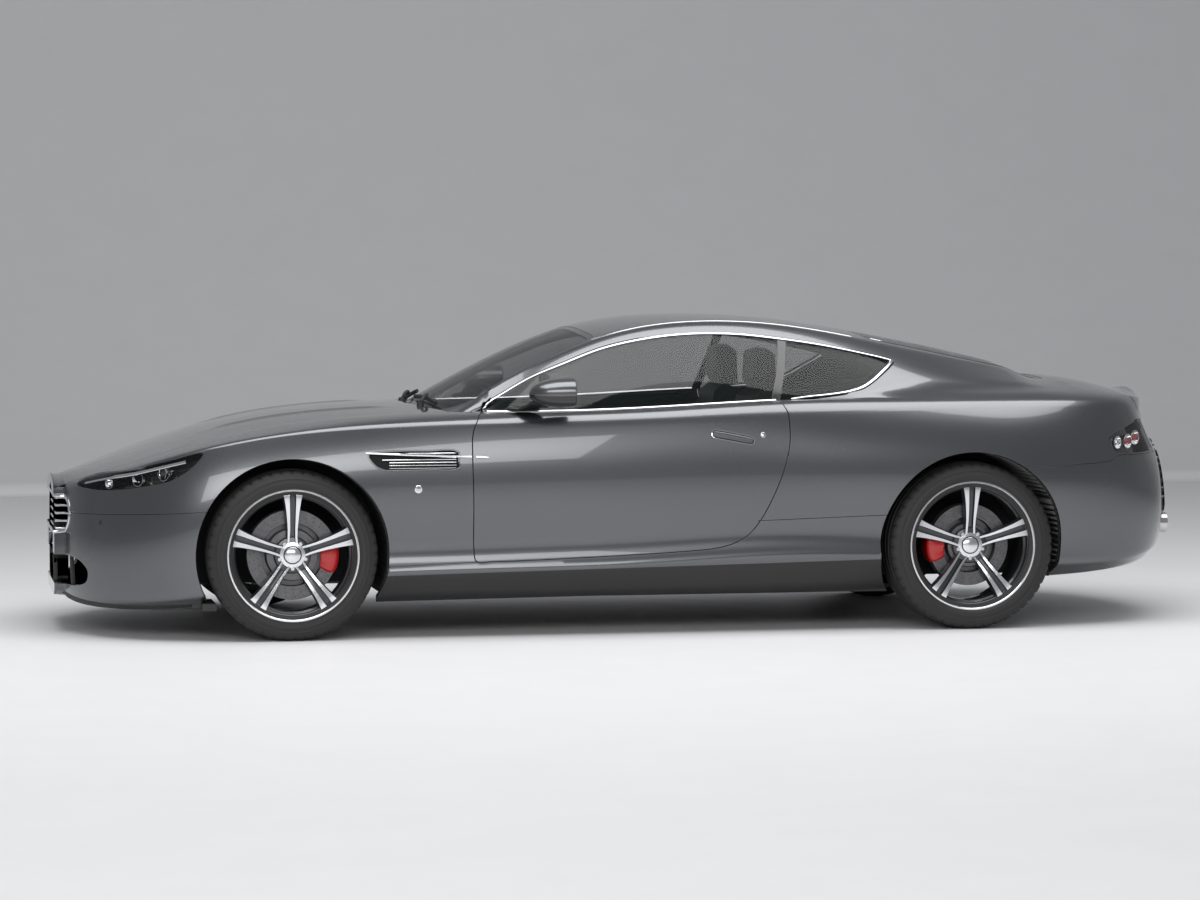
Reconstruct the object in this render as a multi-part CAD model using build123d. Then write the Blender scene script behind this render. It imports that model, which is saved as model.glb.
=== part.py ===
"""Two-door coupe car in millimetres: +X forward, +Y left, +Z up, origin on the ground under its middle."""

import os
from math import cos, hypot, radians, sin, sqrt

from build123d import *

os.makedirs("parts", exist_ok=True)

# Driving dimensions
WHEELBASE = 2740
LENGTH = 4697
FRONT_OVERHANG = 912
FRONT_AXLE_X = LENGTH / 2 - FRONT_OVERHANG
REAR_AXLE_X = FRONT_AXLE_X - WHEELBASE
FRONT_WHEEL_Y = 784
REAR_WHEEL_Y = 781
FRONT_TYRE_R = 336
REAR_TYRE_R = 337
ARCH_R = 380
LINER_T = 5
PANEL_T = 26
GLASS_T = 6
SHUT_GAP = 6
CABIN_Y = 770
STEER_DEG = 32
KINGPIN_Y = 750
WELL_Y = 478
FLOOR_Z = 150
BULKHEAD_X = 815
REAR_BULKHEAD_X = -1110

# Half sections of the lower body, nose to tail
# x, floor z, floor y, rocker y z, waist y z, widest y z, shoulder y z, deck edge y z, crown z
BODY_ROWS = [
    (2346, 305, 70, 100, 312, 118, 335, 120, 368, 104, 405, 70, 424, 430),
    (2330, 190, 130, 190, 215, 220, 290, 222, 380, 190, 530, 150, 575, 600),
    (2290, 140, 300, 360, 165, 378, 275, 380, 390, 335, 565, 280, 598, 625),
    (2220, 122, 460, 520, 155, 538, 270, 540, 400, 480, 602, 390, 628, 650),
    (2110, 115, 600, 668, 150, 688, 285, 690, 420, 622, 642, 490, 664, 685),
    (1980, 115, 690, 775, 155, 793, 300, 796, 450, 724, 690, 560, 710, 729),
    (1800, 120, 740, 848, 175, 866, 325, 872, 490, 802, 748, 622, 768, 791),
    (1436, 128, 770, 898, 235, 890, 370, 922, 600, 864, 815, 665, 841, 872),
    (1000, 145, 800, 898, 262, 884, 390, 916, 660, 872, 838, 700, 880, 904),
    (500, 145, 800, 902, 272, 886, 400, 914, 690, 882, 836, 800, 886, 920),
    (0, 145, 800, 906, 285, 888, 410, 914, 700, 886, 842, 806, 900, 930),
    (-500, 145, 800, 908, 310, 892, 430, 918, 700, 884, 858, 800, 925, 945),
    (-900, 160, 800, 904, 300, 902, 440, 932, 700, 872, 880, 780, 935, 952),
    (-1303, 185, 790, 896, 280, 908, 430, 937, 690, 852, 900, 740, 942, 960),
    (-1650, 198, 760, 872, 255, 892, 410, 918, 660, 826, 900, 690, 948, 985),
    (-1800, 205, 725, 845, 255, 868, 407, 890, 640, 802, 898, 640, 958, 1010),
    (-1900, 210, 690, 815, 256, 842, 405, 860, 622, 780, 894, 615, 952, 1000),
    (-2050, 228, 620, 732, 275, 758, 405, 768, 590, 690, 882, 580, 928, 957),
    (-2110, 240, 570, 680, 288, 712, 407, 712, 585, 545, 852, 492, 915, 942),
    (-2160, 256, 510, 615, 302, 650, 412, 628, 630, 405, 800, 388, 912, 944),
    (-2200, 272, 430, 535, 318, 578, 416, 531, 645, 285, 782, 270, 908, 944),
    (-2235, 290, 350, 450, 334, 492, 422, 428, 640, 205, 772, 160, 905, 941),
    (-2248, 296, 320, 420, 340, 458, 425, 388, 640, 165, 765, 80, 786, 790),
    (-2280, 312, 245, 345, 356, 372, 430, 300, 630, 140, 705, 90, 714, 717),
    (-2324, 345, 120, 205, 378, 228, 436, 168, 620, 110, 642, 70, 650, 652),
    (-2348, 425, 30, 60, 433, 75, 455, 80, 482, 68, 512, 40, 530, 536),
]

# Half sections of the cab, screen foot to tail of the rear window
# x, crown z, rail y z, glass top y z, belt y z
CAB_ROWS = [
    (880, 893, 645, 790, 690, 730, 720, 640),
    (800, 938, 640, 858, 685, 798, 715, 700),
    (700, 990, 630, 920, 675, 862, 730, 790),
    (580, 1051, 615, 991, 668, 940, 765, 862),
    (450, 1114, 600, 1055, 662, 1016, 790, 888),
    (300, 1177, 585, 1125, 650, 1078, 797, 893),
    (150, 1226, 575, 1182, 640, 1132, 801, 897),
    (0, 1251, 565, 1215, 632, 1170, 805, 902),
    (-200, 1264, 555, 1235, 626, 1190, 805, 910),
    (-400, 1265, 550, 1238, 622, 1189, 804, 920),
    (-600, 1252, 540, 1222, 620, 1168, 800, 932),
    (-800, 1224, 530, 1190, 622, 1134, 792, 942),
    (-1000, 1190, 510, 1152, 628, 1088, 776, 948),
    (-1200, 1154, 485, 1113, 622, 1045, 748, 952),
    (-1400, 1112, 457, 1070, 608, 1005, 715, 925),
    (-1600, 1063, 430, 1030, 590, 992, 690, 917),
    (-1700, 1040, 412, 1013, 574, 986, 664, 927),
    (-1798, 1020, 400, 999, 560, 979, 640, 937),
]
CAB_SINK = 110
EDGE_ROUND = 0.25


# Shut lines seen from the side, as x z
DOOR_FRONT = [(677, 905), (692, 876), (711, 844), (726, 802), (730, 718), (727, 536), (722, 355), (715, 300)]
DOOR_SILL = [(715, 300), (141, 317), (-102, 329), (-251, 341), (-326, 360), (-384, 392), (-430, 449)]
DOOR_REAR = [
    (-430, 449), (-476, 538), (-521, 651), (-547, 750), (-551, 830), (-547, 879), (-523, 936), (-505, 990),
]
SILL_FRONT = [(1100, 285), (715, 300)]
SILL_REAR = [(-430, 449), (-990, 466)]
NOSE_LINE = [(2400, 480), (2268, 486), (1775, 510), (1700, 512)]
TAIL_LINE = [(-1480, 647), (-1575, 650), (-1915, 674), (-1960, 692), (-2400, 692)]
SILL_FOOT_Z = 185

# Openings seen from above, as x y
BONNET_EDGE = [
    (2400, 300), (2290, 300), (2220, 392), (2110, 490), (1980, 560),
    (1800, 622), (1436, 665), (1000, 690), (790, 700),
]
BONNET_REAR = [(790, 700), (860, 450), (900, 200), (908, 0)]
SCREEN = [
    (900, 0), (895, 200), (850, 450), (700, 640), (640, 606),
    (450, 588), (300, 572), (150, 560), (176, 300), (186, 0),
]
ROOF_REAR = [(-930, 0), (-935, 250), (-955, 490)]
REAR_WINDOW = [
    (-945, 0), (-950, 250), (-968, 478), (-1200, 458), (-1400, 430),
    (-1600, 400), (-1740, 372), (-1780, 200), (-1787, 0),
]
RAIL_EDGE = [
    (185, 550), (150, 566), (0, 558), (-200, 548), (-400, 543),
    (-600, 533), (-800, 523), (-940, 508), (-990, 460),
]
BOOT_EDGE = [
    (-1802, 0), (-1800, 220), (-1796, 400), (-1815, 480), (-1870, 525),
    (-1950, 545), (-2420, 545), (-2420, 0),
]
BOOT_FOOT_Z = 690
DECK_CLEAR_Z = 1100

# Side glass and lamps seen from the side, as x z
DOOR_GLASS = [
    (640, 884), (600, 930), (457, 1012), (323, 1067), (160, 1126), (-26, 1164),
    (-204, 1180), (-384, 1178), (-566, 1160), (-512, 930), (-520, 860), (640, 860),
]
QUARTER_GLASS = [
    (-586, 1158), (-745, 1133), (-927, 1096), (-1010, 1078), (-948, 1030),
    (-877, 976), (-787, 958), (-545, 938), (-532, 932),
]
HEADLAMP = [
    (2252, 596), (2193, 584), (2111, 587), (2012, 603), (1911, 627), (1836, 671), (1784, 719),
    (1777, 739), (1861, 722), (1961, 695), (2061, 666), (2150, 645), (2210, 622),
]
TAIL_LAMP = [(-1892, 756), (-1915, 780), (-2045, 823), (-2330, 800), (-2330, 700), (-1947, 700)]
TAIL_LAMP_Y = 560
LAMP_MIN_Y = 330
LAMP_DEPTH = 34

# Grille and lower intake
GRILLE_Y = 385
GRILLE_Z = (402, 556)
GRILLE_FIT = 0.4
SLAT_COUNT = 5
SLAT_PITCH = 30.8
SLAT_T = 9
SLAT_INSET = 8
INTAKE_Y = 425
INTAKE_Z = (195, 318)
INTAKE_INSET = 14
INTAKE_T = 10

# Side vent behind the front wheel, as x z
VENT = [(1140, 728), (1075, 742), (800, 742), (785, 722), (790, 672), (1080, 667), (1146, 716)]
VENT_DEPTH = 12
STRAKE = [(1151, 733), (738, 717)]
STRAKE_WIDTH = 14
STRAKE_Y = (890, 919)

# Exhaust tips
TIP_Y = 430
TIP_Z = 388
TIP_R = 42
TIP_HOLE_R = 50

# Cabin
SEAT_Y = 370
WHEEL_CENTRE = (290, 370, 850)
COLUMN_TILT = 22

# Wheels: tread half width, rim half width, disc radius, disc half thickness
FRONT_RIM_HALF = 118
REAR_RIM_HALF = 133
FRONT_TREAD_HALF = 118
REAR_TREAD_HALF = 138
FLANGE_R = 261
SEAT_R = 241
HUB_RECESS = 40
CAP_R = 33
CAP_DEPTH = 28
NUT_R = 10
NUT_CIRCLE_R = 57
SPOKE_PAIRS = 5


def arc_middle(start, pull, end):
    """Point half way along the soft curve from start to end that leans to pull."""
    return ((start[0] + 2 * pull[0] + end[0]) / 4, (start[1] + 2 * pull[1] + end[1]) / 4)


def line_meet(p, t, q, s):
    """Where the line through p along t meets the line through q along s."""
    det = s[0] * t[1] - t[0] * s[1]
    k = (s[0] * (q[1] - p[1]) - s[1] * (q[0] - p[0])) / det
    return (p[0] + k * t[0], p[1] + k * t[1])


def circle_centre(a, b, c):
    """Centre of the circle through three points."""
    d = 2 * (a[0] * (b[1] - c[1]) + b[0] * (c[1] - a[1]) + c[0] * (a[1] - b[1]))
    sa, sb, sc = (p[0] ** 2 + p[1] ** 2 for p in (a, b, c))
    u = (sa * (b[1] - c[1]) + sb * (c[1] - a[1]) + sc * (a[1] - b[1])) / d
    v = (sa * (c[0] - b[0]) + sb * (a[0] - c[0]) + sc * (b[0] - a[0])) / d
    return (u, v)


def rising_tangent(centre, at):
    """Direction of the circle about centre at a point on it, turned upwards."""
    t = (centre[1] - at[1], at[0] - centre[0])
    n = hypot(*t)
    if t[1] < 0:
        n = -n
    return (t[0] / n, t[1] / n)


def crown_arc(edge, top):
    """Middle of the flat arc from edge to the centreline point top, and its direction at edge."""
    rise = top[1] - edge[1]
    radius = (edge[0] ** 2 + rise ** 2) / (2 * rise)
    centre_z = top[1] - radius
    middle = (edge[0] / 2, centre_z + sqrt(radius ** 2 - edge[0] ** 2 / 4))
    return middle, (edge[1] - centre_z, -edge[0])


def body_section(row, inset=0):
    """Closed half section of the lower body, drawn in by inset."""
    x, z_a, y_b, y_c, z_c, y_d, z_d, y_e, z_e, y_f, z_f, y_g, z_g, z_h = row
    x = x * (1 - inset / (LENGTH / 2))
    a = (0, z_a + inset)
    b = (max(y_b - inset, 12), z_a + inset)
    c = (max(y_c - inset, 16), z_c + inset / 2)
    d = (max(y_d - inset, 20), z_d)
    e = (max(y_e - inset, 22), z_e)
    f = (max(y_f - inset * 0.9, 18), z_f - inset / 2)
    g = (max(y_g - inset / 2, 14), z_g - inset)
    h = (0, z_h - inset)
    centre = circle_centre(d, e, f)
    leave_d = rising_tangent(centre, d)
    leave_f = rising_tangent(centre, f)
    reach = hypot(d[0] - c[0], d[1] - c[1]) / 2
    mid_cd = arc_middle(c, (d[0] - leave_d[0] * reach, d[1] - leave_d[1] * reach), d)
    mid_gh, slope_g = crown_arc(g, h)
    pull = line_meet(f, leave_f, g, slope_g)
    if not (g[0] <= pull[0] <= f[0] and f[1] <= pull[1]):
        pull = (f[0] - EDGE_ROUND * (f[0] - g[0]), g[1] - EDGE_ROUND * (g[1] - f[1]))
    mid_fg = arc_middle(f, pull, g)

    def at(p):
        return (x, p[0], p[1])

    return Wire([
        Edge.make_line(at(a), at(b)),
        Edge.make_line(at(b), at(c)),
        Edge.make_three_point_arc(at(c), at(mid_cd), at(d)),
        Edge.make_three_point_arc(at(d), at(e), at(f)),
        Edge.make_three_point_arc(at(f), at(mid_fg), at(g)),
        Edge.make_three_point_arc(at(g), at(mid_gh), at(h)),
        Edge.make_line(at(h), at(a)),
    ])


def cab_section(row, inset=0):
    """Closed half section of the cab, drawn in by inset, its foot sunk into the body."""
    x, z_top, y_r, z_r, y_t, z_t, y_b, z_b = row
    top = (0, z_top - inset)
    rail = (y_r - inset * 0.5, z_r - inset * 0.9)
    glass = (y_t - inset * 0.9, z_t - inset * 0.5)
    belt = (y_b - inset * 0.9, z_b - inset * 0.5)
    foot = (y_b - inset * 0.9, z_b - CAB_SINK)
    mid_top, slope = crown_arc(rail, top)
    bulge = 0.035 * hypot(belt[0] - glass[0], belt[1] - glass[1])
    mid_side = ((glass[0] + belt[0]) / 2 + bulge, (glass[1] + belt[1]) / 2 + bulge)
    pull = line_meet(rail, slope, glass, (glass[0] - mid_side[0], glass[1] - mid_side[1]))
    mid_rail = arc_middle(rail, pull, glass)

    def at(p):
        return (x, p[0], p[1])

    return Wire([
        Edge.make_three_point_arc(at(top), at(mid_top), at(rail)),
        Edge.make_three_point_arc(at(rail), at(mid_rail), at(glass)),
        Edge.make_three_point_arc(at(glass), at(mid_side), at(belt)),
        Edge.make_line(at(belt), at(foot)),
        Edge.make_line(at(foot), at((0, foot[1]))),
        Edge.make_line(at((0, foot[1])), at(top)),
    ])


def body_form(inset=0):
    rows = BODY_ROWS[1:-1] if inset else BODY_ROWS
    return Solid.make_loft([body_section(row, inset) for row in rows], True)


def cab_form(inset=0):
    return Solid.make_loft([cab_section(row, inset) for row in CAB_ROWS], True)


def box(x0, x1, y0, y1, z0, z1):
    return Pos((x0 + x1) / 2, (y0 + y1) / 2, (z0 + z1) / 2) * Box(x1 - x0, y1 - y0, z1 - z0)


def side_prism(points, y0, y1):
    """Outline in x z, from y0 to y1."""
    face = Face(Wire.make_polygon([(x, y0, z) for x, z in points], close=True))
    return Solid.extrude(face, Vector(0, y1 - y0, 0))


def plan_prism(points, z0, z1):
    """Outline in x y, from z0 to z1."""
    face = Face(Wire.make_polygon([(x, y, z0) for x, y in points], close=True))
    return Solid.extrude(face, Vector(0, 0, z1 - z0))


def strip(points, width):
    """Outline of a band of the given width along a line of points."""
    left, right = [], []
    for i, (u, v) in enumerate(points):
        before = points[max(i - 1, 0)]
        after = points[min(i + 1, len(points) - 1)]
        du, dv = after[0] - before[0], after[1] - before[1]
        n = hypot(du, dv)
        left.append((u - dv / n * width / 2, v + du / n * width / 2))
        right.append((u + dv / n * width / 2, v - du / n * width / 2))
    return left + right[::-1]


def grown(points, amount):
    """Outline pushed outwards by amount from its own middle line."""
    n = len(points)
    following = points[1:] + points[:1]
    area = sum(p[0] * q[1] - q[0] * p[1] for p, q in zip(points, following))
    turn = amount if area > 0 else -amount
    result = []
    for i, (u, v) in enumerate(points):
        before, after = points[i - 1], points[(i + 1) % n]
        du, dv = after[0] - before[0], after[1] - before[1]
        length = hypot(du, dv)
        result.append((u + dv / length * turn, v - du / length * turn if v else 0))
    return result


def cylinder_y(radius, x, z, y0, y1):
    return Pos(x, (y0 + y1) / 2, z) * Rot(90, 0, 0) * Cylinder(radius, y1 - y0)


def cylinder_x(radius, y, z, x0, x1):
    return Pos((x0 + x1) / 2, y, z) * Rot(0, 90, 0) * Cylinder(radius, x1 - x0)


def turned(profile, x, y, z):
    """Ring turned about a crosswise axle through x z; profile in axle offset and radius from y."""
    face = Face(Wire.make_polygon([(0, offset, radius) for offset, radius in profile], close=True))
    return Pos(x, y, z) * Solid.revolve(face, 360, Axis.Y)


def mirrored(shape):
    return mirror(shape, Plane.XZ)


def piece_at(shape, x, y, z):
    """The solid of a cut shape that comes nearest to a point."""
    return min(shape.solids(), key=lambda solid: solid.distance_to(Vector(x, y, z)))


def whole(half):
    """Both sides of a piece joined on the middle plane."""
    return half + mirrored(half)


def save(node, *shapes):
    solids = [solid for shape in shapes for solid in shape.solids()]
    export_step(Compound(children=solids), f"parts/{node}.step")


def save_sides(stem, shape):
    save(f"{stem}_left", shape)
    save(f"{stem}_right", mirrored(shape))


def arch_cut(axle_x, axle_z, radius, y0, y1):
    round_top = cylinder_y(radius, axle_x, axle_z, y0, y1)
    return round_top + box(axle_x - radius, axle_x + radius, y0, y1, 0, axle_z)


# Outer forms of the left half
body_outer = body_form()
body_inner = body_form(PANEL_T)
body_room = body_form(PANEL_T + 0.5)
cab_outer = cab_form()
front_arch = arch_cut(FRONT_AXLE_X, FRONT_TYRE_R, ARCH_R, WELL_Y, 1000)
rear_arch = arch_cut(REAR_AXLE_X, REAR_TYRE_R, ARCH_R, WELL_Y, 1000)

# Lower shell with its openings and shut lines
door_loop = DOOR_FRONT[:-1] + DOOR_SILL[:-1] + DOOR_REAR
cabin_edge = [(700, 0), (700, 750), (-1150, 720), (-1500, 560), (-1770, 420), (-1770, 0)]
openings = [
    box(-1700, 1816, -20, 790, 0, 600),
    front_arch,
    rear_arch,
    side_prism(grown(HEADLAMP, 0.4), LAMP_MIN_Y, 1000),
    side_prism(grown(TAIL_LAMP, 0.4), TAIL_LAMP_Y, 1000),
    plan_prism(cabin_edge, 700, DECK_CLEAR_Z),
    box(2150, 2400, -20, GRILLE_Y, GRILLE_Z[0], GRILLE_Z[1]),
    box(2150, 2400, -20, INTAKE_Y, INTAKE_Z[0], INTAKE_Z[1]),
    cylinder_x(TIP_HOLE_R, TIP_Y, TIP_Z, -2400, -2100),
]
seams = [
    side_prism(strip(DOOR_FRONT[:-1] + DOOR_SILL, SHUT_GAP), 600, 1000),
    side_prism(strip(DOOR_SILL[:-1] + DOOR_REAR, SHUT_GAP), 600, 1000),
    side_prism(strip(SILL_FRONT, SHUT_GAP / 2), 600, 1000),
    side_prism(strip(SILL_REAR, SHUT_GAP / 2), 600, 1000),
    side_prism(strip(NOSE_LINE, SHUT_GAP / 2), -20, 1000),
    side_prism(strip(TAIL_LINE, SHUT_GAP / 2), -20, 1000),
    plan_prism(strip(BONNET_EDGE, SHUT_GAP), 540, 1000),
    plan_prism(strip(BONNET_REAR, SHUT_GAP), 540, 1000),
    plan_prism(strip(BOOT_EDGE[:-1], SHUT_GAP), BOOT_FOOT_Z, DECK_CLEAR_Z),
]
shell = body_outer - body_inner
for tool in openings + seams:
    shell = shell - tool
fender = piece_at(shell, 1000, 916, 660)
door_skin = piece_at(shell, 0, 914, 700)
sill = piece_at(shell, 0, 906, 285)
quarter_low = piece_at(shell, -1000, 930, 700)
front_bumper = piece_at(shell, 2250, 500, 360)
rear_bumper = piece_at(shell, -2200, 560, 480)
bonnet = piece_at(shell, 1436, 20, 860)
boot_lid = piece_at(shell, -2000, 20, 940)

# Cab shell
cab_shell = cab_outer - body_outer - cab_form(PANEL_T)
for tool in [
    plan_prism(SCREEN, 700, 1400),
    plan_prism(REAR_WINDOW, 700, 1400),
    side_prism(DOOR_GLASS, 450, 1000),
    side_prism(QUARTER_GLASS, 450, 1000),
    plan_prism(strip(RAIL_EDGE, 0.6), 700, 1400),
]:
    cab_shell = cab_shell - tool
roof = piece_at(cab_shell, -300, 10, 1255)
cab_side = piece_at(cab_shell, -1300, 640, 1010)
cowl = piece_at(shell, 850, 690, 890)
save("roof", whole(roof))
save_sides("quarter", quarter_low + cab_side)
fender = fender - (side_prism(VENT, 860, 1000) - body_form(VENT_DEPTH))
fender = fender + side_prism(strip(STRAKE, STRAKE_WIDTH), *STRAKE_Y)
save_sides("front_fender", fender)
save("sills", sill, mirrored(sill))
save("front_bumper", whole(front_bumper))
save("rear_bumper", whole(rear_bumper))
save("bonnet", whole(bonnet))
save("boot_lid", whole(boot_lid))

# Glass
glass_sheet = cab_form(2) - body_outer - cab_form(2 + GLASS_T)
save("windscreen", whole(glass_sheet & plan_prism(grown(SCREEN, -0.5), 700, 1400)))
save("rear_window", whole(glass_sheet & plan_prism(grown(REAR_WINDOW, -0.5), 700, 1400)))
quarter_glass = glass_sheet & side_prism(grown(QUARTER_GLASS, -0.5), 450, 1000)
quarter_glass = quarter_glass - cab_side - quarter_low
save("quarter_glass", quarter_glass, mirrored(quarter_glass))
door_glass = glass_sheet & side_prism(grown(DOOR_GLASS, -5), 450, 1000)
save_sides("door_glass", piece_at(door_glass, 0, 700, 1050))

# Doors: skin on a thick inner frame
ring = side_prism(door_loop, 700, 1000) - side_prism(grown(door_loop, -22), 700, 1000)
block = body_inner & side_prism(grown(door_loop, -22), 792, 1000)
save_sides("door", door_skin + piece_at(block, 0, 850, 600))

# Lamps
lamp_sheet = body_form(2) - body_form(2 + LAMP_DEPTH)
headlamp = lamp_sheet & side_prism(grown(HEADLAMP, -0.3), LAMP_MIN_Y + 3, 1000)
headlamp = headlamp - plan_prism(strip(BONNET_EDGE, 14), 540, 1000)
headlamp = piece_at(headlamp, 2000, 760, 650) - fender
tail_lamp = lamp_sheet & side_prism(grown(TAIL_LAMP, -0.3), TAIL_LAMP_Y + 0.4, 1000)
tail_lamp = tail_lamp - quarter_low - rear_bumper
save("headlamps", headlamp, mirrored(headlamp))
save("tail_lamps", tail_lamp, mirrored(tail_lamp))

# Grille slats, their front edges following the nose, and lower intake
nose = body_form(SLAT_INSET) & box(2172, 2400, -20, GRILLE_Y - GRILLE_FIT, GRILLE_Z[0], GRILLE_Z[1])
grille = box(2160, 2172, -20, GRILLE_Y - GRILLE_FIT, GRILLE_Z[0] + 2, GRILLE_Z[1] - 2)
for i in range(SLAT_COUNT):
    z = GRILLE_Z[1] - SLAT_PITCH * (i + 0.5)
    grille = grille + (nose & box(2170, 2400, -20, 400, z - SLAT_T / 2, z + SLAT_T / 2))
intake_body = body_form(INTAKE_INSET) & box(2200, 2400, -20, INTAKE_Y - GRILLE_FIT, INTAKE_Z[0], INTAKE_Z[1])
intake = intake_body - Pos(-INTAKE_T, 0, 0) * intake_body
intake = piece_at(intake - box(2000, 2400, -20, 1000, 0, INTAKE_Z[0] + GRILLE_FIT), 2300, 0, 250)
grille = grille & box(2000, 2400, 0, 1000, 0, 1000)
intake = intake & box(2000, 2400, 0, 1000, 0, 1000)
save("grille", whole(grille), whole(intake))

# Wheels
WHEEL_ROWS = [
    ("front", FRONT_AXLE_X, FRONT_WHEEL_Y, FRONT_TYRE_R, FRONT_RIM_HALF, FRONT_TREAD_HALF, 177.5, 16),
    ("rear", REAR_AXLE_X, REAR_WHEEL_Y, REAR_TYRE_R, REAR_RIM_HALF, REAR_TREAD_HALF, 165, 14),
]
calipers, knuckles = {}, {}
for end, x, y, tyre_r, rim_half, tread_half, disc_r, disc_half in WHEEL_ROWS:
    lip = y + rim_half
    back = -2 * rim_half
    mount = -HUB_RECESS - 35
    barrel = turned([
        (0, 261), (-8, 261), (-14, 243), (-46, 243), (-62, 222), (-130, 222), (-150, 243), (back + 14, 243),
        (back + 8, 261), (back, 261), (back, 254), (back + 8, 236), (-146, 234), (-126, 213), (-66, 213),
        (-50, 234), (-12, 236), (0, 252),
    ], x, lip, tyre_r)
    dish = turned([
        (-40, 0), (-40, 82), (-34, 150), (-22, 200), (-8, 240),
        (-40, 240), (-52, 200), (-64, 150), (mount, 82), (mount, 0),
    ], x, lip, tyre_r)
    pattern = cylinder_y(84, x, tyre_r, lip - 120, lip + 20)
    for i in range(SPOKE_PAIRS):
        for side in (-1, 1):
            outline = [(side * 2, 60), (side * 11, 242), (side * 34, 242), (side * 26, 60)]
            bar = side_prism(outline, lip - 120, lip + 20)
            pattern = pattern + Pos(x, 0, tyre_r) * Rot(0, i * 360 / SPOKE_PAIRS, 0) * bar
    rim = barrel + (dish & pattern)
    rim = rim + cylinder_y(CAP_R, x, tyre_r, lip - 60, lip - CAP_DEPTH)
    for i in range(SPOKE_PAIRS):
        turn = Pos(x, 0, tyre_r) * Rot(0, (i + 0.5) * 360 / SPOKE_PAIRS, 0)
        rim = rim + turn * cylinder_y(NUT_R, 0, NUT_CIRCLE_R, lip - 60, lip - HUB_RECESS + 8)
    bead = rim_half - 14
    bulge = tread_half + 4
    tyre = turned([
        (-bead, 243), (-bead, 262), (-bulge, 294), (-tread_half + 12, tyre_r),
        (tread_half - 12, tyre_r), (bulge, 294), (bead, 262), (bead, 243),
    ], x, y, tyre_r)
    face = lip + mount
    mid = face - 50
    disc = turned([
        (0, 38), (0, 78), (-50 + disc_half, 78), (-50 + disc_half, disc_r), (-50 - disc_half, disc_r),
        (-50 - disc_half, 68), (-8, 68), (-8, 38),
    ], x, face, tyre_r)
    save_sides(f"rim_{end}", rim)
    save_sides(f"tyre_{end}", tyre)
    save_sides(f"disc_{end}", disc)
    toward = -1 if end == "front" else 1
    block_ring = cylinder_y(disc_r + 24, x, tyre_r, mid - 40, mid + 40)
    block_ring = block_ring - cylinder_y(112, x, tyre_r, mid - 50, mid + 50)
    slot = cylinder_y(disc_r + 6, x, tyre_r, mid - disc_half - 6, mid + disc_half + 6)
    far_x = x + toward * 260
    wedge = side_prism([(x, tyre_r), (far_x, tyre_r + 125), (far_x, tyre_r - 125)], mid - 60, mid + 60)
    calipers[end] = (block_ring - slot) & wedge
    upright = box(x - 38, x + 38, mid - 77, mid - 32, tyre_r - 120, tyre_r + 135)
    hub = cylinder_y(55, x, tyre_r, mid - 33, face - 8.3)
    arm = box(min(x, x + toward * 150), max(x, x + toward * 150), mid - 66, mid - 40, tyre_r - 30, tyre_r + 30)
    knuckles[end] = upright + hub + arm
save_sides("caliper_front", calipers["front"])
save("rear_calipers", calipers["rear"], mirrored(calipers["rear"]))
save_sides("knuckle", knuckles["front"])

# Subframes
front_post = box(1300, 1556, 400, 460, 250, 319)
front_arm = box(FRONT_AXLE_X - 18, FRONT_AXLE_X + 18, 460, 738, 190, FRONT_TYRE_R - 120.3)
front_frame = box(1200, 1556, -460, 460, 190, 250)
for part in (front_post, front_arm):
    front_frame = front_frame + part + mirrored(part)
save("front_subframe", front_frame)
rear_post = box(-1450, -1180, 500, 560, 330, 430)
rear_link = box(REAR_AXLE_X - 20, REAR_AXLE_X + 20, 560, 716, 250, 290)
rear_frame = box(-1450, -1180, -560, 560, 230, 330)
for part in (rear_post, rear_link, knuckles["rear"]):
    rear_frame = rear_frame + part + mirrored(part)
save("rear_subframe", rear_frame)

# Floor, bulkheads, rails, inner wings and wheel housings
allowed = body_room + box(-1690, 1810, -20, 787, 140, 600)
floor = box(REAR_BULKHEAD_X, BULKHEAD_X, -20, 796, FLOOR_Z, FLOOR_Z + 15)
floor += box(-1010, 815, -20, 125, 165, 400)
floor += box(-905, 1057, 700, 796, 165, 320)
floor += box(BULKHEAD_X - 15, BULKHEAD_X, -20, 780, 165, 830)
floor += box(REAR_BULKHEAD_X, REAR_BULKHEAD_X + 15, -20, 600, 165, 880)
floor += box(-2200, REAR_BULKHEAD_X, -20, 600, 430, 445)
floor += box(-2200, -1800, 470, 500, 445, 1000)
floor += box(800, 2330, 390, 476, 319, 400)
floor += box(815, 1750, 540, 560, 560, 1000)
floor += box(1050, 1820, 476, 560, 560, 575)
floor += box(815, 1057, 476, 560, 320, 575)
# axle x z, inner wall y, outer edge y
for x, z, wall_y, front in (
    (FRONT_AXLE_X, FRONT_TYRE_R, WELL_Y, 895),
    (REAR_AXLE_X, REAR_TYRE_R, 600, 900),
):
    housing = cylinder_y(379, x, z, wall_y - LINER_T, front) - cylinder_y(375, x, z, wall_y, 1000)
    floor -= cylinder_y(375, x, z, wall_y, 1000)
    floor += housing & box(x - 400, x + 400, wall_y - 10, 1000, 200, 800)
seal = side_prism(grown(door_loop, -10), 795, 830) - side_prism(grown(door_loop, -21.6), 790, 835)
floor += seal & box(150, 680, 790, 840, 300, 348)
floor = floor & allowed
floor = floor - box(1396, 1476, 440, 500, 185, 245) - box(-1343, -1263, 580, 620, 240, 300)
for node, x0, x1 in (
    ("front_structure", BULKHEAD_X, 3000),
    ("floor_pan", REAR_BULKHEAD_X, BULKHEAD_X),
    ("boot_floor", -3000, REAR_BULKHEAD_X),
):
    save(node, whole(floor & box(x0, x1, 0, 1000, 0, 2000)))

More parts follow.
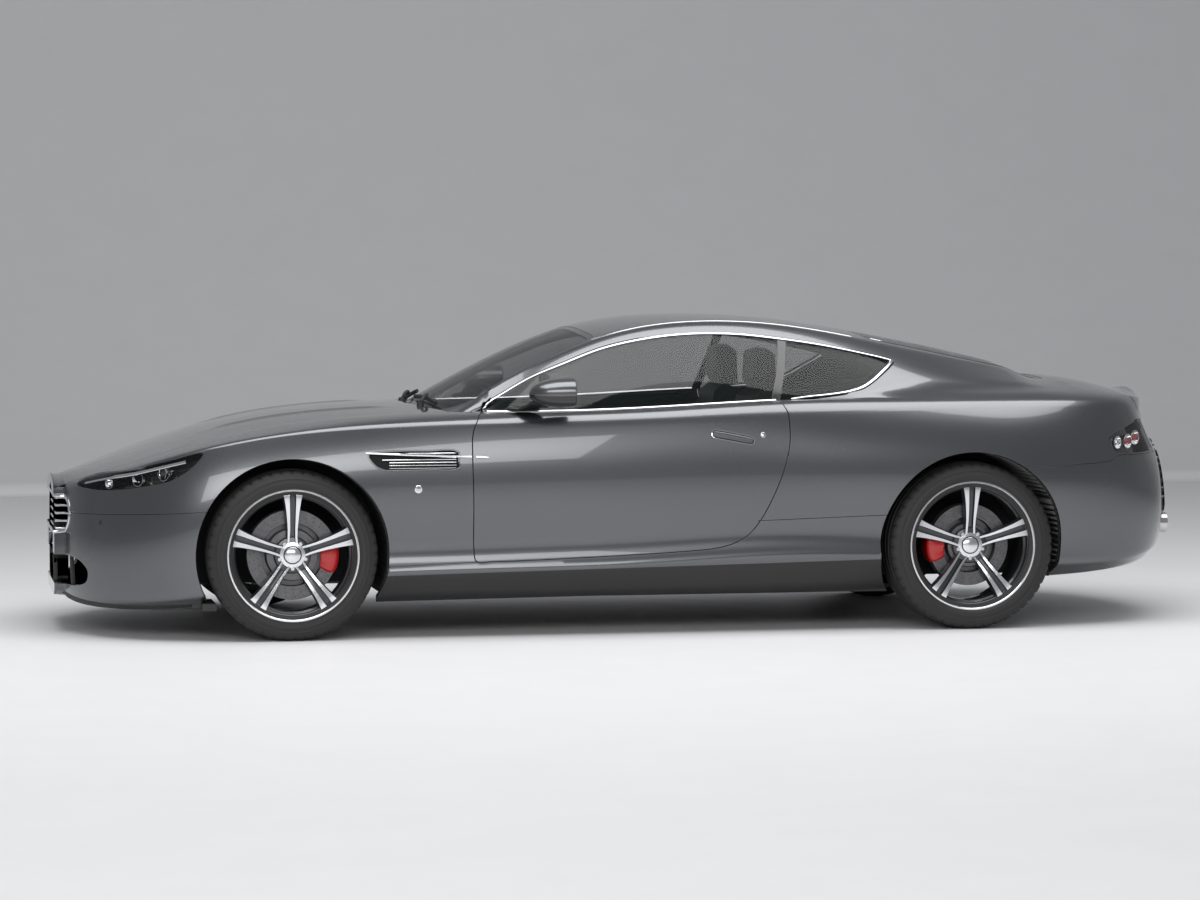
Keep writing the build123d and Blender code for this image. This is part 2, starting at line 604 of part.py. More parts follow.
# Engine, exhaust
save("engine_block", box(850, 1310, -270, 270, 250, 720))
tips = []
for side in (-1, 1):
    pipe = cylinder_x(TIP_R, side * TIP_Y, TIP_Z, -2268, -2060)
    tips.append(pipe - cylinder_x(TIP_R - 4, side * TIP_Y, TIP_Z, -2300, -2080))
save("exhaust", *tips, box(-2060, -1800, -500, 500, 310, 430))

# Seats: side profiles as x z for the middle and for the raised bolsters
CUSHION = [(-310, 280), (160, 280), (172, 380), (140, 402), (-200, 372), (-330, 400)]
CUSHION_SIDE = [(-310, 280), (150, 280), (168, 372), (150, 428), (-60, 438), (-330, 420)]
BACKREST = [(-330, 372), (-440, 330), (-610, 880), (-590, 940), (-520, 962), (-478, 930), (-430, 600)]
BACKREST_SIDE = [(-290, 400), (-440, 330), (-600, 860), (-560, 900), (-480, 880), (-372, 600)]
HEADREST = [(-520, 955), (-590, 955), (-585, 1100), (-545, 1128), (-500, 1110), (-492, 1000)]
SEAT_HALF = 235
BOLSTER_AT = 150
seat = box(-300, 100, SEAT_Y - 200, SEAT_Y + 200, FLOOR_Z + 15, 280)
seat = seat + side_prism(HEADREST, SEAT_Y - 105, SEAT_Y + 105)
for middle, edge in ((CUSHION, CUSHION_SIDE), (BACKREST, BACKREST_SIDE)):
    seat = seat + side_prism(middle, SEAT_Y - BOLSTER_AT, SEAT_Y + BOLSTER_AT)
    seat = seat + side_prism(edge, SEAT_Y - SEAT_HALF, SEAT_Y - BOLSTER_AT)
    seat = seat + side_prism(edge, SEAT_Y + BOLSTER_AT, SEAT_Y + SEAT_HALF)
save("front_seats", seat, mirrored(seat))
rear_seat = side_prism([(-1000, 165), (-680, 165), (-670, 470), (-760, 500), (-1000, 440)], 160, 590)
rear_back = side_prism([(-930, 420), (-1090, 420), (-1090, 850), (-1050, 870), (-1010, 840)], 160, 590)
rear_seat = rear_seat + rear_back
save("rear_seat", rear_seat, mirrored(rear_seat))

# Dashboard and steering wheel
DASH = [(800, 560), (800, 826), (690, 838), (520, 835), (470, 780), (520, 600), (600, 560)]
RIM_R = 180
RIM_SECTION = [(-14, 0), (-7, 12), (7, 12), (14, 0), (7, -12), (-7, -12)]
hub_x, hub_y, hub_z = WHEEL_CENTRE
section = Face(Wire.make_polygon([(RIM_R + u, 0, v) for u, v in RIM_SECTION], close=True))
ring_shape = Solid.revolve(section, 360, Axis.Z) + Cylinder(62, 34)
ring_shape = ring_shape + Box(340, 30, 14) + Pos(0, -90, 0) * Box(30, 170, 14)
column = Pos(0, 0, -65) * Cylinder(22, 100)
shroud = Pos(0, 0, -115.3 - 90) * Cylinder(34, 180)
at_hub = Pos(hub_x, hub_y, hub_z) * Rot(0, COLUMN_TILT - 90, 0)
save("steering_wheel", at_hub * (ring_shape + column))
save("dashboard", side_prism(DASH, -610, 610) + at_hub * shroud)

# Door mirrors: oval sections as x, half width, half height
MIRROR_ROWS = [(512, 16, 14), (494, 44, 36), (455, 66, 54), (400, 75, 60), (331, 76, 61)]
MIRROR_AT = (962, 970)
ovals = []
for x, half_y, half_z in MIRROR_ROWS:
    level = Plane(origin=(x, *MIRROR_AT), x_dir=(0, 1, 0), z_dir=(1, 0, 0))
    ovals.append(Wire([Edge.make_ellipse(half_y, half_z, level)]))
stalk = box(430, 560, 808, 930, 872, 920)
save_sides("mirror", Solid.make_loft(ovals) + (stalk - body_outer))
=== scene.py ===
import math

import bmesh
import bpy
import numpy as np
from mathutils import Matrix, Vector
from mathutils.geometry import delaunay_2d_cdt


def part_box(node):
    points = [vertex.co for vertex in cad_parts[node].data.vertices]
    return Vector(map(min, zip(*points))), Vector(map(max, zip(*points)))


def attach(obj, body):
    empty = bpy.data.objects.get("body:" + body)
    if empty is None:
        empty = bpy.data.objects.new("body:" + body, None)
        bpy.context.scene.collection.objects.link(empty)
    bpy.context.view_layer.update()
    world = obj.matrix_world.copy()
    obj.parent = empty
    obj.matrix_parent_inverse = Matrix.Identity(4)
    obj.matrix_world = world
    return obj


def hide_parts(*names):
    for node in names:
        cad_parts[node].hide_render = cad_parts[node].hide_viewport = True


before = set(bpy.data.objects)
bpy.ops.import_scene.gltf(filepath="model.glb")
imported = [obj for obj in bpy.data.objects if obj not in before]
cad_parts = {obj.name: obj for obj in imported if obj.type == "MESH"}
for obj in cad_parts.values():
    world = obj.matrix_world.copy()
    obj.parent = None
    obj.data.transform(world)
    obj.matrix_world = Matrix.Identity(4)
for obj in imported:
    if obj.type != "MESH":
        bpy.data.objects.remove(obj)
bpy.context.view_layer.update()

MM = 0.001
FRONT_AXLE = np.array([1436.5, 784, 336]) * MM
REAR_AXLE = np.array([-1303.5, 781, 337]) * MM
ARCH_R = 0.380
LINER_R, LINER_INNER_Y = 0.375, 0.56
SIDES = (("left", 1), ("right", -1))
SPACING = 0.016

# Half sections of the lower body, nose to tail
# x, floor z, floor y, rocker y z, waist y z, widest y z, shoulder y z, deck edge y z, crown z
BODY_ROWS = [
    (2348, 366, 1, 2, 367, 3, 367.5, 3, 368, 3, 368.5, 2, 369, 369.5),
    (2345, 305, 70, 100, 312, 118, 335, 120, 368, 104, 405, 70, 424, 430),
    (2330, 190, 130, 190, 215, 220, 290, 222, 380, 190, 530, 150, 575, 600),
    (2290, 140, 300, 360, 165, 378, 275, 380, 390, 335, 565, 280, 598, 625),
    (2220, 122, 460, 520, 155, 538, 270, 540, 400, 480, 602, 390, 628, 650),
    (2110, 115, 600, 668, 150, 688, 285, 690, 420, 622, 642, 490, 664, 685),
    (1980, 115, 690, 775, 155, 793, 300, 796, 450, 724, 690, 560, 710, 729),
    (1800, 120, 740, 848, 175, 866, 325, 872, 490, 802, 748, 622, 768, 791),
    (1436, 128, 770, 898, 235, 890, 370, 922, 600, 864, 815, 665, 841, 872),
    (1000, 145, 800, 898, 262, 884, 390, 916, 660, 872, 838, 700, 880, 904),
    (500, 145, 800, 902, 272, 886, 400, 914, 690, 882, 836, 800, 886, 920),
    (0, 145, 800, 906, 285, 888, 410, 914, 700, 886, 842, 806, 900, 930),
    (-500, 145, 800, 908, 310, 892, 430, 918, 700, 884, 858, 800, 925, 945),
    (-900, 160, 800, 904, 300, 902, 440, 932, 700, 872, 880, 780, 935, 952),
    (-1303, 185, 790, 896, 280, 908, 430, 937, 690, 852, 900, 740, 942, 960),
    (-1650, 198, 760, 872, 255, 892, 410, 918, 660, 826, 900, 690, 948, 985),
    (-1800, 205, 725, 845, 255, 868, 407, 890, 640, 802, 898, 640, 958, 1010),
    (-1900, 210, 690, 815, 256, 842, 405, 860, 622, 780, 894, 615, 952, 1000),
    (-2050, 228, 620, 732, 275, 758, 405, 768, 590, 690, 882, 580, 928, 957),
    (-2110, 240, 570, 680, 288, 712, 407, 712, 585, 545, 852, 492, 915, 942),
    (-2160, 256, 510, 615, 302, 650, 412, 628, 630, 405, 800, 388, 912, 944),
    (-2200, 272, 430, 535, 318, 578, 416, 531, 645, 285, 782, 270, 908, 944),
    (-2235, 290, 350, 450, 334, 492, 422, 428, 640, 205, 772, 160, 905, 941),
    (-2248, 296, 320, 420, 340, 458, 425, 388, 640, 165, 765, 80, 786, 790),
    (-2280, 312, 245, 345, 356, 372, 430, 300, 630, 140, 705, 90, 714, 717),
    (-2324, 345, 120, 205, 378, 228, 436, 168, 620, 110, 642, 70, 650, 652),
    (-2348, 425, 30, 60, 433, 75, 455, 80, 482, 68, 512, 40, 530, 536),
    (-2348.5, 480, 1, 2, 481, 3, 481.5, 3, 482, 3, 482.5, 2, 483, 483.5),
]

# Half sections of the cab, screen foot to tail of the rear window
# x, crown z, rail y z, glass top y z, belt y
CAB_ROWS = [
    (880, 893, 645, 790, 690, 730, 720),
    (800, 938, 640, 858, 685, 798, 715),
    (700, 990, 630, 920, 675, 862, 730),
    (580, 1051, 615, 991, 668, 940, 765),
    (450, 1114, 600, 1055, 662, 1016, 790),
    (300, 1177, 585, 1125, 650, 1078, 797),
    (150, 1226, 575, 1182, 640, 1132, 801),
    (0, 1251, 565, 1215, 632, 1170, 805),
    (-200, 1262, 555, 1235, 626, 1190, 805),
    (-400, 1262.5, 550, 1238, 622, 1189, 804),
    (-600, 1252, 540, 1222, 620, 1168, 800),
    (-800, 1224, 530, 1190, 622, 1134, 792),
    (-1000, 1190, 510, 1152, 628, 1088, 776),
    (-1200, 1154, 485, 1113, 622, 1045, 748),
    (-1400, 1112, 457, 1070, 608, 1005, 715),
    (-1600, 1063, 430, 1030, 590, 992, 690),
    (-1700, 1038, 412, 1010, 574, 982, 664),
    (-1797, 1011, 400, 992, 560, 972, 640),
]

# Shut lines seen from the side, as x z
DOOR_LINE = [
    (692, 876), (711, 844), (726, 802), (730, 718), (727, 536), (722, 355), (713, 303), (640, 301),
    (141, 317), (-102, 329), (-251, 341), (-326, 360), (-384, 392), (-430, 449), (-476, 538), (-521, 651),
    (-547, 750), (-551, 830), (-547, 879), (-536, 905),
]
SILL_FRONT = [(1100, 285), (718, 300)]
SILL_REAR = [(-430, 449), (-960, 466)]
NOSE_LINE = [(2255, 487), (2100, 494), (1900, 503), (1790, 509)]
TAIL_LINE = [(-1500, 648), (-1600, 651), (-1750, 660), (-1900, 672), (-1945, 691), (-2000, 692), (-2090, 692)]
TAIL_FACE = [(690, 692), (560, 692), (300, 692), (0, 692)]
# Shut lines seen from above, as x y
BONNET_EDGE = [
    (2290, 300), (2220, 392), (2110, 490), (1980, 560), (1800, 622), (1436, 665), (1000, 690), (800, 700),
]
BONNET_REAR = [(800, 702), (835, 560), (868, 400), (897, 200), (905, 0)]
COWL_SIDE = [(800, 700), (757, 728), (712, 742), (680, 742)]
CABIN_FRONT = [(760, 0), (752, 300), (735, 550), (715, 680), (686, 745)]
SCREEN = [
    (876, 0), (872, 200), (845, 430), (770, 575), (690, 632), (560, 608), (300, 574), (205, 562), (182, 540),
    (186, 300), (190, 0),
]
REAR_WINDOW = [
    (-945, 0), (-950, 250), (-958, 440), (-975, 478), (-1200, 458), (-1400, 430), (-1600, 398), (-1730, 366),
    (-1765, 330), (-1778, 200), (-1784, 0),
]
RAIL_EDGE = [
    (205, 538), (188, 551), (150, 562), (0, 556), (-200, 547), (-400, 542), (-600, 532), (-800, 522),
    (-930, 508), (-975, 482), (-992, 462),
]
BOOT_EDGE = [(-1799, 0), (-1799, 220), (-1797, 390), (-1812, 470), (-1865, 523), (-1950, 545), (-2060, 548)]
BOOT_FACE = [(549, 860), (550, 800), (550, 745), (550, 684)]
# Window outline and lamps seen from the side, as x z
DAYLIGHT = [
    (664, 884), (632, 918), (560, 962), (457, 1019), (323, 1074), (160, 1134), (-26, 1173), (-204, 1190),
    (-384, 1188), (-564, 1169), (-745, 1142), (-927, 1105), (-1010, 1086), (-1035, 1077), (-1018, 1060),
    (-976, 1030), (-925, 996), (-877, 972), (-820, 957), (-740, 946), (-640, 937), (-540, 924),
]
PILLAR = [(-517, 933), (-522, 950), (-555, 1060), (-586, 1205)]
HEADLAMP = [
    (2252, 596), (2193, 584), (2111, 587), (2012, 603), (1911, 627), (1836, 671), (1790, 716), (1780, 737),
    (1800, 738), (1861, 722), (1961, 695), (2061, 668), (2150, 650), (2215, 628), (2250, 608),
]
TAIL_LAMP_SIDE = [
    (-2045, 823), (-1980, 803), (-1918, 781), (-1897, 768), (-1893, 752), (-1905, 728), (-1928, 706),
    (-1950, 699), (-2000, 698), (-2080, 698),
]
TAIL_LAMP_FACE = [(660, 698), (600, 698), (558, 699), (556, 760), (556, 828), (600, 832), (660, 834)]
# Openings in the nose, as y z
GRILLE = [
    (0, 556), (220, 555), (330, 546), (372, 520), (392, 478), (384, 438), (350, 408), (250, 403), (0, 402),
]
INTAKE = [
    (0, 318), (250, 317), (430, 312), (500, 296), (540, 262), (528, 220), (470, 200), (300, 196), (0, 195),
]
VENT = [
    (1142, 726), (1110, 738), (1040, 743), (900, 743), (800, 743), (783, 730), (786, 700), (780, 680),
    (795, 668), (900, 667), (1010, 666), (1080, 668), (1120, 690),
]
STRAKE = [(1153, 733), (900, 723), (669, 713)]
# Crease of the bonnet beside the wings, as x y, with its half width and height
RIDGE = [(1700, 300), (1050, 372)]
RIDGE_HALF, RIDGE_HIGH = 26, 7
# Gaps and glass
DOOR_GAP, LID_GAP, COWL_GAP, WING_GAP, SILL_GAP = 0.005, 0.0045, 0.006, 0.004, 0.0035
RIM_WIDE, DAYLIGHT_FRAME, ROOF_GAP = 0.03, 0.012, 0.002
PILLAR_HALF = 17
PANE_SINK, PANE_THICK = 0.003, 0.005


def points_of(table):
    return np.array(table, float) * MM


def chord(points):
    """Distance along a row of points from its first."""
    return np.concatenate([[0], np.cumsum(np.linalg.norm(np.diff(points, axis=0), axis=1))])


def fair(knots, values, places, reach):
    """Columns of values at the knots, drawn as smooth curves at the places; a long reach bends softly."""
    step = places[1] - places[0]
    count = len(places)
    spot = np.clip((knots - places[0]) / step, 0, count - 1.000001)
    low = spot.astype(int)
    share = spot - low
    pick = np.zeros((len(knots), count))
    pick[np.arange(len(knots)), low] = 1 - share
    pick[np.arange(len(knots)), low + 1] += share
    bend = np.zeros((count - 3, count))
    for k, factor in enumerate((-1, 3, -3, 1)):
        bend[np.arange(count - 3), np.arange(count - 3) + k] = factor
    stiff = np.interp(places[:-3] + 1.5 * step, knots, reach) ** 2.5 / step ** 2.5
    bend *= stiff[:, None]
    hold = np.full(len(knots), 1.0)
    hold[[0, -1]] = 1000
    system = (pick.T * hold) @ pick + bend.T @ bend
    return np.linalg.solve(system, (pick.T * hold) @ values)


def smooth(points, step=0.01, closed=False):
    """Soft curve through the points, cut into steps."""
    p = np.asarray(points, float)
    if closed:
        p = np.concatenate([p[-1:], p, p[:2]])
    else:
        p = np.concatenate([2 * p[:1] - p[1:2], p, 2 * p[-1:] - p[-2:-1]])
    out = []
    for a, b, c, d in zip(p[:-3], p[1:-2], p[2:-1], p[3:]):
        count = max(1, int(math.ceil(np.linalg.norm(c - b) / step)))
        near, mid, far = (max(np.linalg.norm(w) ** 0.5, 1e-6) for w in (b - a, c - b, d - c))
        leave = ((b - a) / near - (c - a) / (near + mid) + (c - b) / mid) * mid
        arrive = ((c - b) / mid - (d - b) / (mid + far) + (d - c) / far) * mid
        t = (np.arange(count) / count)[:, None]
        out.append(
            (2 * t ** 3 - 3 * t ** 2 + 1) * b + (t ** 3 - 2 * t ** 2 + t) * leave
            + (3 * t ** 2 - 2 * t ** 3) * c + (t ** 3 - t ** 2) * arrive
        )
    if not closed:
        out.append(p[-2:-1])
    return np.concatenate(out)


def ease(low, high, value):
    t = np.clip((value - low) / (high - low), 0, 1)
    return t * t * (3 - 2 * t)


def unit(v):
    return v / np.maximum(np.linalg.norm(v, axis=-1, keepdims=True), 1e-12)


def pair(y, z):
    return np.stack([y, z], axis=1)


def bow(start, pull, end, count, last=False):
    """Soft curves from start to end that lean to pull, one for each station."""
    t = np.linspace(0, 1, count + 1)[None, :, None]
    if not last:
        t = t[:, :-1]
    return (1 - t) ** 2 * start[:, None] + 2 * t * (1 - t) * pull[:, None] + t ** 2 * end[:, None]


def meet(p, t, q, s):
    """Where lines through p along t meet lines through q along s, one for each station."""
    det = s[:, 0] * t[:, 1] - t[:, 0] * s[:, 1]
    k = (s[:, 0] * (q[:, 1] - p[:, 1]) - s[:, 1] * (q[:, 0] - p[:, 0])) / det
    return p + k[:, None] * t


def held_in(x, start, reach):
    """Positions eased so that they never pass start by more than reach, on either side of the middle."""
    past = np.maximum(np.abs(x) - start, 0)
    return np.where(past > 0, np.sign(x) * (start + reach * np.tanh(past / reach)), x)


def shrinking(values):
    """Values that fall a little at every step."""
    return np.minimum.accumulate(values, axis=0) - 0.01 * np.arange(len(values))


def mean_chord(grid, axis):
    step = np.linalg.norm(np.diff(grid, axis=axis), axis=2).mean(axis=1 - axis)
    return np.concatenate([[0], np.cumsum(np.maximum(step, 1e-5))])


class Sheet:
    """Skin of the left half as a grid of points, with a flat map: u along the car and v up the section."""

    def __init__(self, grid):
        self.grid = grid
        self.u = mean_chord(grid, 0)
        self.v = mean_chord(grid, 1)
        self.normal = unit(np.cross(np.gradient(grid, axis=0), np.gradient(grid, axis=1)))

    def blend(self, table, flat):
        i = np.clip(np.interp(flat[:, 0], self.u, np.arange(len(self.u))), 0, len(self.u) - 1.0001)
        j = np.clip(np.interp(flat[:, 1], self.v, np.arange(len(self.v))), 0, len(self.v) - 1.0001)
        i0, j0 = i.astype(int), j.astype(int)
        a, b = (i - i0)[:, None], (j - j0)[:, None]
        near = table[i0, j0] * (1 - b) + table[i0, j0 + 1] * b
        far = table[i0 + 1, j0] * (1 - b) + table[i0 + 1, j0 + 1] * b
        return near * (1 - a) + far * a

    def at(self, flat):
        return self.blend(self.grid, flat)

    def normal_at(self, flat):
        return unit(self.blend(self.normal, flat))

    def find(self, axes, points, low=0, high=None, first=0, last=None):
        """Flat places of points given by two of their coordinates, sought between columns and rows."""
        points = np.atleast_2d(np.asarray(points, float))
        part = self.grid[first:last, low:high][:, :, axes]
        near = ((part[None] - points[:, None, None]) ** 2).sum(axis=3).reshape(len(points), -1).argmin(axis=1)
        i, j = np.divmod(near, part.shape[1])
        flat = np.stack([self.u[i + first], self.v[j + low]], axis=1)
        bound_v = (self.v[low], self.v[high - 1] if high else self.v[-1])
        for _ in range(12):
            here = self.at(flat)[:, axes]
            miss = points - here
            tiny = 0.0005
            du = (self.at(flat + [tiny, 0])[:, axes] - self.at(flat - [tiny, 0])[:, axes]) / (2 * tiny)
            dv = (self.at(flat + [0, tiny])[:, axes] - self.at(flat - [0, tiny])[:, axes]) / (2 * tiny)
            det = du[:, 0] * dv[:, 1] - du[:, 1] * dv[:, 0]
            det = np.where(np.abs(det) < 1e-4, 1e-4, det)
            step_u = miss[:, 0] * dv[:, 1] - miss[:, 1] * dv[:, 0]
            step_v = du[:, 0] * miss[:, 1] - du[:, 1] * miss[:, 0]
            step = np.stack([step_u, step_v], axis=1)
            flat = flat + np.clip(step / det[:, None], -0.02, 0.02)
            flat[:, 0] = np.clip(flat[:, 0], 0, self.u[-1])
            flat[:, 1] = np.clip(flat[:, 1], *bound_v)
        return flat

    def scale(self, flat):
        """Real length of a unit step along u and along v."""
        tiny = 0.002
        lu = np.linalg.norm(self.at(flat + [tiny, 0]) - self.at(flat - [tiny, 0]), axis=1) / (2 * tiny)
        lv = np.linalg.norm(self.at(flat + [0, tiny]) - self.at(flat - [0, tiny]), axis=1) / (2 * tiny)
        return np.clip(np.stack([lu, lv], axis=1), 0.2, 5)

    def beside(self, line, gap, closed=False):
        """The line moved sideways on the skin by gap."""
        along = np.roll(line, -1, axis=0) - np.roll(line, 1, axis=0) if closed else np.gradient(line, axis=0)
        scale = self.scale(line)
        real = along * scale
        side = np.stack([-real[:, 1], real[:, 0]], axis=1)
        side /= np.linalg.norm(side, axis=1, keepdims=True)
        return line + side / scale * gap


def body_grid():
    """Lower body skin, from the middle of the floor out and up to the middle of the deck."""
    rows = np.array(BODY_ROWS, float)
    knots = chord(rows[:, [0, 7, 13]])
    places = np.linspace(0, knots[-1], 620)
    ends = [0, 200, 700, knots[-1] - 1100, knots[-1] - 600, knots[-1]]
    s = fair(knots, rows, places, np.interp(knots, ends, [10, 20, 110, 110, 18, 10]))
    nose, tail, lip = (int(np.searchsorted(-s[:, 0], place)) for place in (-2300, 2150, 2228))
    for station, rising, falling in ((tail, (1, 4), (0, 2, 3, 5, 7, 9, 11)), (lip, (), (10, 12, 13))):
        for column in falling:
            s[station:, column] = shrinking(s[station:, column])
        for column in rising:
            s[station:, column] = -shrinking(-s[station:, column])
    for column in (1, 4):
        s[:nose, column] = -shrinking(-s[:nose, column][::-1])[::-1]
    for column in (0, 2, 3, 5, 7, 9, 10, 11, 12, 13):
        step = -1 if column == 0 else 1
        s[:nose, column] = step * shrinking(step * s[:nose, column][::-step])[::-step]
    x = held_in(s[:, 0], 2322, 22)
    zero = np.zeros(len(s))
    a, b = pair(zero, s[:, 1]), pair(s[:, 2], s[:, 1])
    c, d, e, f, g = (pair(s[:, k], s[:, k + 1]) for k in (3, 5, 7, 9, 11))
    h = pair(zero, s[:, 13])
    near = np.linalg.norm(e - d, axis=1, keepdims=True)
    t = near / (near + np.linalg.norm(f - e, axis=1, keepdims=True))
    swell = (e - (1 - t) ** 2 * d - t ** 2 * f) / (2 * t * (1 - t))
    reach_cd = np.linalg.norm(d - c, axis=1, keepdims=True) / 2
    slope_g = pair(g[:, 0], -2 * (h[:, 1] - g[:, 1]))
    pull = meet(f, swell - f, g, slope_g)
    corner = f * 0.25 + g * 0.75
    corner[:, 0] = f[:, 0] * 0.8 + g[:, 0] * 0.2
    low, high = np.minimum(f, g), np.maximum(f, g)
    inside = np.clip(pull, low, high + [0, 0.5])
    share = ease(-2040, -2110, x)[:, None]
    pull_fg = inside * (1 - share) + corner * share
    yz = np.concatenate([
        bow(a, (a + b) / 2, b, 6),
        bow(b, (b + c) / 2, c, 3),
        bow(c, d - unit(swell - d) * reach_cd, d, 12),
        bow(d, swell, f, 24),
        bow(f, pull_fg, g, 14),
        bow(g, pair(g[:, 0] / 2, h[:, 1]), h, 40, True),
    ], axis=1)
    grid = np.empty((len(x), yz.shape[1], 3))
    grid[:, :, 0] = x[:, None]
    grid[:, :, 1:] = yz
    grid[:, :, 1] = np.maximum(grid[:, :, 1], 0)
    start, end = RIDGE
    ridge_y = np.interp(x, [end[0], start[0]], [end[1], start[1]])[:, None]
    near = (grid[:, :, 1] - ridge_y) / RIDGE_HALF
    lift = RIDGE_HIGH * ease(1800, 1600, x) * ease(960, 1100, x)
    grid[:, DECK_J:, 2] += (lift[:, None] * np.exp(-near ** 2))[:, DECK_J:]
    return grid * MM


# Columns of the body grid where its parts meet
FLOOR_J, ROCKER_J, SHOULDER_J, DECK_J = 6, 9, 45, 59
RAIL_COLUMNS = 36
body = Sheet(body_grid())
# The first and last rows close the ends, so they face along the car
body.normal[:8], body.normal[-14:] = (1, 0, 0), (-1, 0, 0)
NOSE_I = int(np.searchsorted(-body.grid[:, 0, 0], -2.15))
TAIL_I = int(np.searchsorted(-body.grid[:, 0, 0], 1.95))


def side_find(points):
    return body.find([0, 2], points, FLOOR_J, DECK_J + 1)


def top_find(points):
    return body.find([0, 1], points, SHOULDER_J)


def nose_find(points):
    return body.find([1, 2], points, 0, None, 2, NOSE_I)


def tail_find(points):
    return body.find([1, 2], points, 0, None, TAIL_I, len(body.u) - 2)


def cab_grid():
    """Cab skin whose foot lies on the body and flows into haunch and deck behind the door."""
    rows = np.array(CAB_ROWS, float)
    knots = chord(rows[:, [0, 1]])
    places = np.linspace(0, knots[-1], 330)
    s = fair(knots, rows, places, np.interp(knots, [0, 300, knots[-1]], [70, 110, 110])) * MM
    x = s[:, 0]
    top, rail, glass = pair(0 * x, s[:, 1]), pair(s[:, 2], s[:, 3]), pair(s[:, 4], s[:, 5])
    foot_flat = top_find(np.stack([x, s[:, 6]], axis=1))
    foot = body.at(foot_flat)[:, 1:]
    side = foot - glass
    bulge = 0.035 * np.stack([-side[:, 1], side[:, 0]], axis=1)
    bowed = (glass + foot) / 2 + bulge * 2
    slope_rail = np.stack([rail[:, 0], -2 * (top[:, 1] - rail[:, 1])], axis=1)
    low, high = np.minimum(rail, glass), np.maximum(rail, glass)
    pull = np.clip(meet(rail, slope_rail, glass, glass - bowed), low, high + [0.02, 0])
    flow = ease(-0.78, -1.25, x)[:, None]
    low_flat = foot_flat.copy()
    shoulder_v = body.v[SHOULDER_J] + 0.25 * (body.v[DECK_J] - body.v[SHOULDER_J])
    low_flat[:, 1] += (flow * (shoulder_v - foot_flat[:, 1:]))[:, 0]
    low = body.at(low_flat)[:, 1:]
    down = unit(body.at(low_flat - [0, 0.004])[:, 1:] - low)
    split = 0.9 - 0.42 * flow
    hold = (1 - split) ** 2 * glass + 2 * split * (1 - split) * bowed + split ** 2 * foot
    lean = unit((1 - split) * (bowed - glass) + split * (foot - bowed))
    arrive = unit(lean * (1 - flow) + down * flow)
    handle = np.linalg.norm(low - hold, axis=1, keepdims=True) * 0.42
    t = np.linspace(0, 1, 17)[None, :, None]
    p0, p1, p2, p3 = (q[:, None] for q in (hold, hold + lean * handle, low - arrive * handle, low))
    fillet = (1 - t) ** 3 * p0 + 3 * t * (1 - t) ** 2 * p1 + 3 * t ** 2 * (1 - t) * p2 + t ** 3 * p3
    t = np.linspace(0, 1, 19)[None, :-1, None] * split[:, None]
    upper = (1 - t) ** 2 * glass[:, None] + 2 * t * (1 - t) * bowed[:, None] + t ** 2 * foot[:, None]
    yz = np.concatenate([
        bow(top, pair(rail[:, 0] / 2, top[:, 1]), rail, RAIL_COLUMNS),
        bow(rail, pull, glass, 12),
        upper,
        fillet,
    ], axis=1)
    run = np.linalg.norm(np.diff(yz, axis=1), axis=2)
    share = np.concatenate([np.zeros((len(x), 1)), np.cumsum(run, axis=1)], axis=1)
    share /= share[:, -1:]
    deck_v = body.v[-1] + share * (low_flat[:, 1:] - body.v[-1])
    deck_flat = np.stack([np.repeat(low_flat[:, :1], yz.shape[1], axis=1), deck_v], axis=2)
    deck = body.at(deck_flat.reshape(-1, 2)).reshape(*yz.shape[:2], 3)
    settle = ease(-1.56, -1.792, x)[:, None, None]
    grid = np.empty((len(x), yz.shape[1], 3))
    grid[:, :, 0] = x[:, None]
    grid[:, :, 1:] = yz
    grid[:, :, 1:] = grid[:, :, 1:] * (1 - settle) + deck[:, :, 1:] * settle
    return grid[:, ::-1], low_flat


cab_points, foot_line = cab_grid()
cab = Sheet(cab_points)


def cab_side_find(points):
    return cab.find([0, 2], points, 0, len(cab.v) - RAIL_COLUMNS)


def cab_top_find(points):
    return cab.find([0, 1], points, 8)


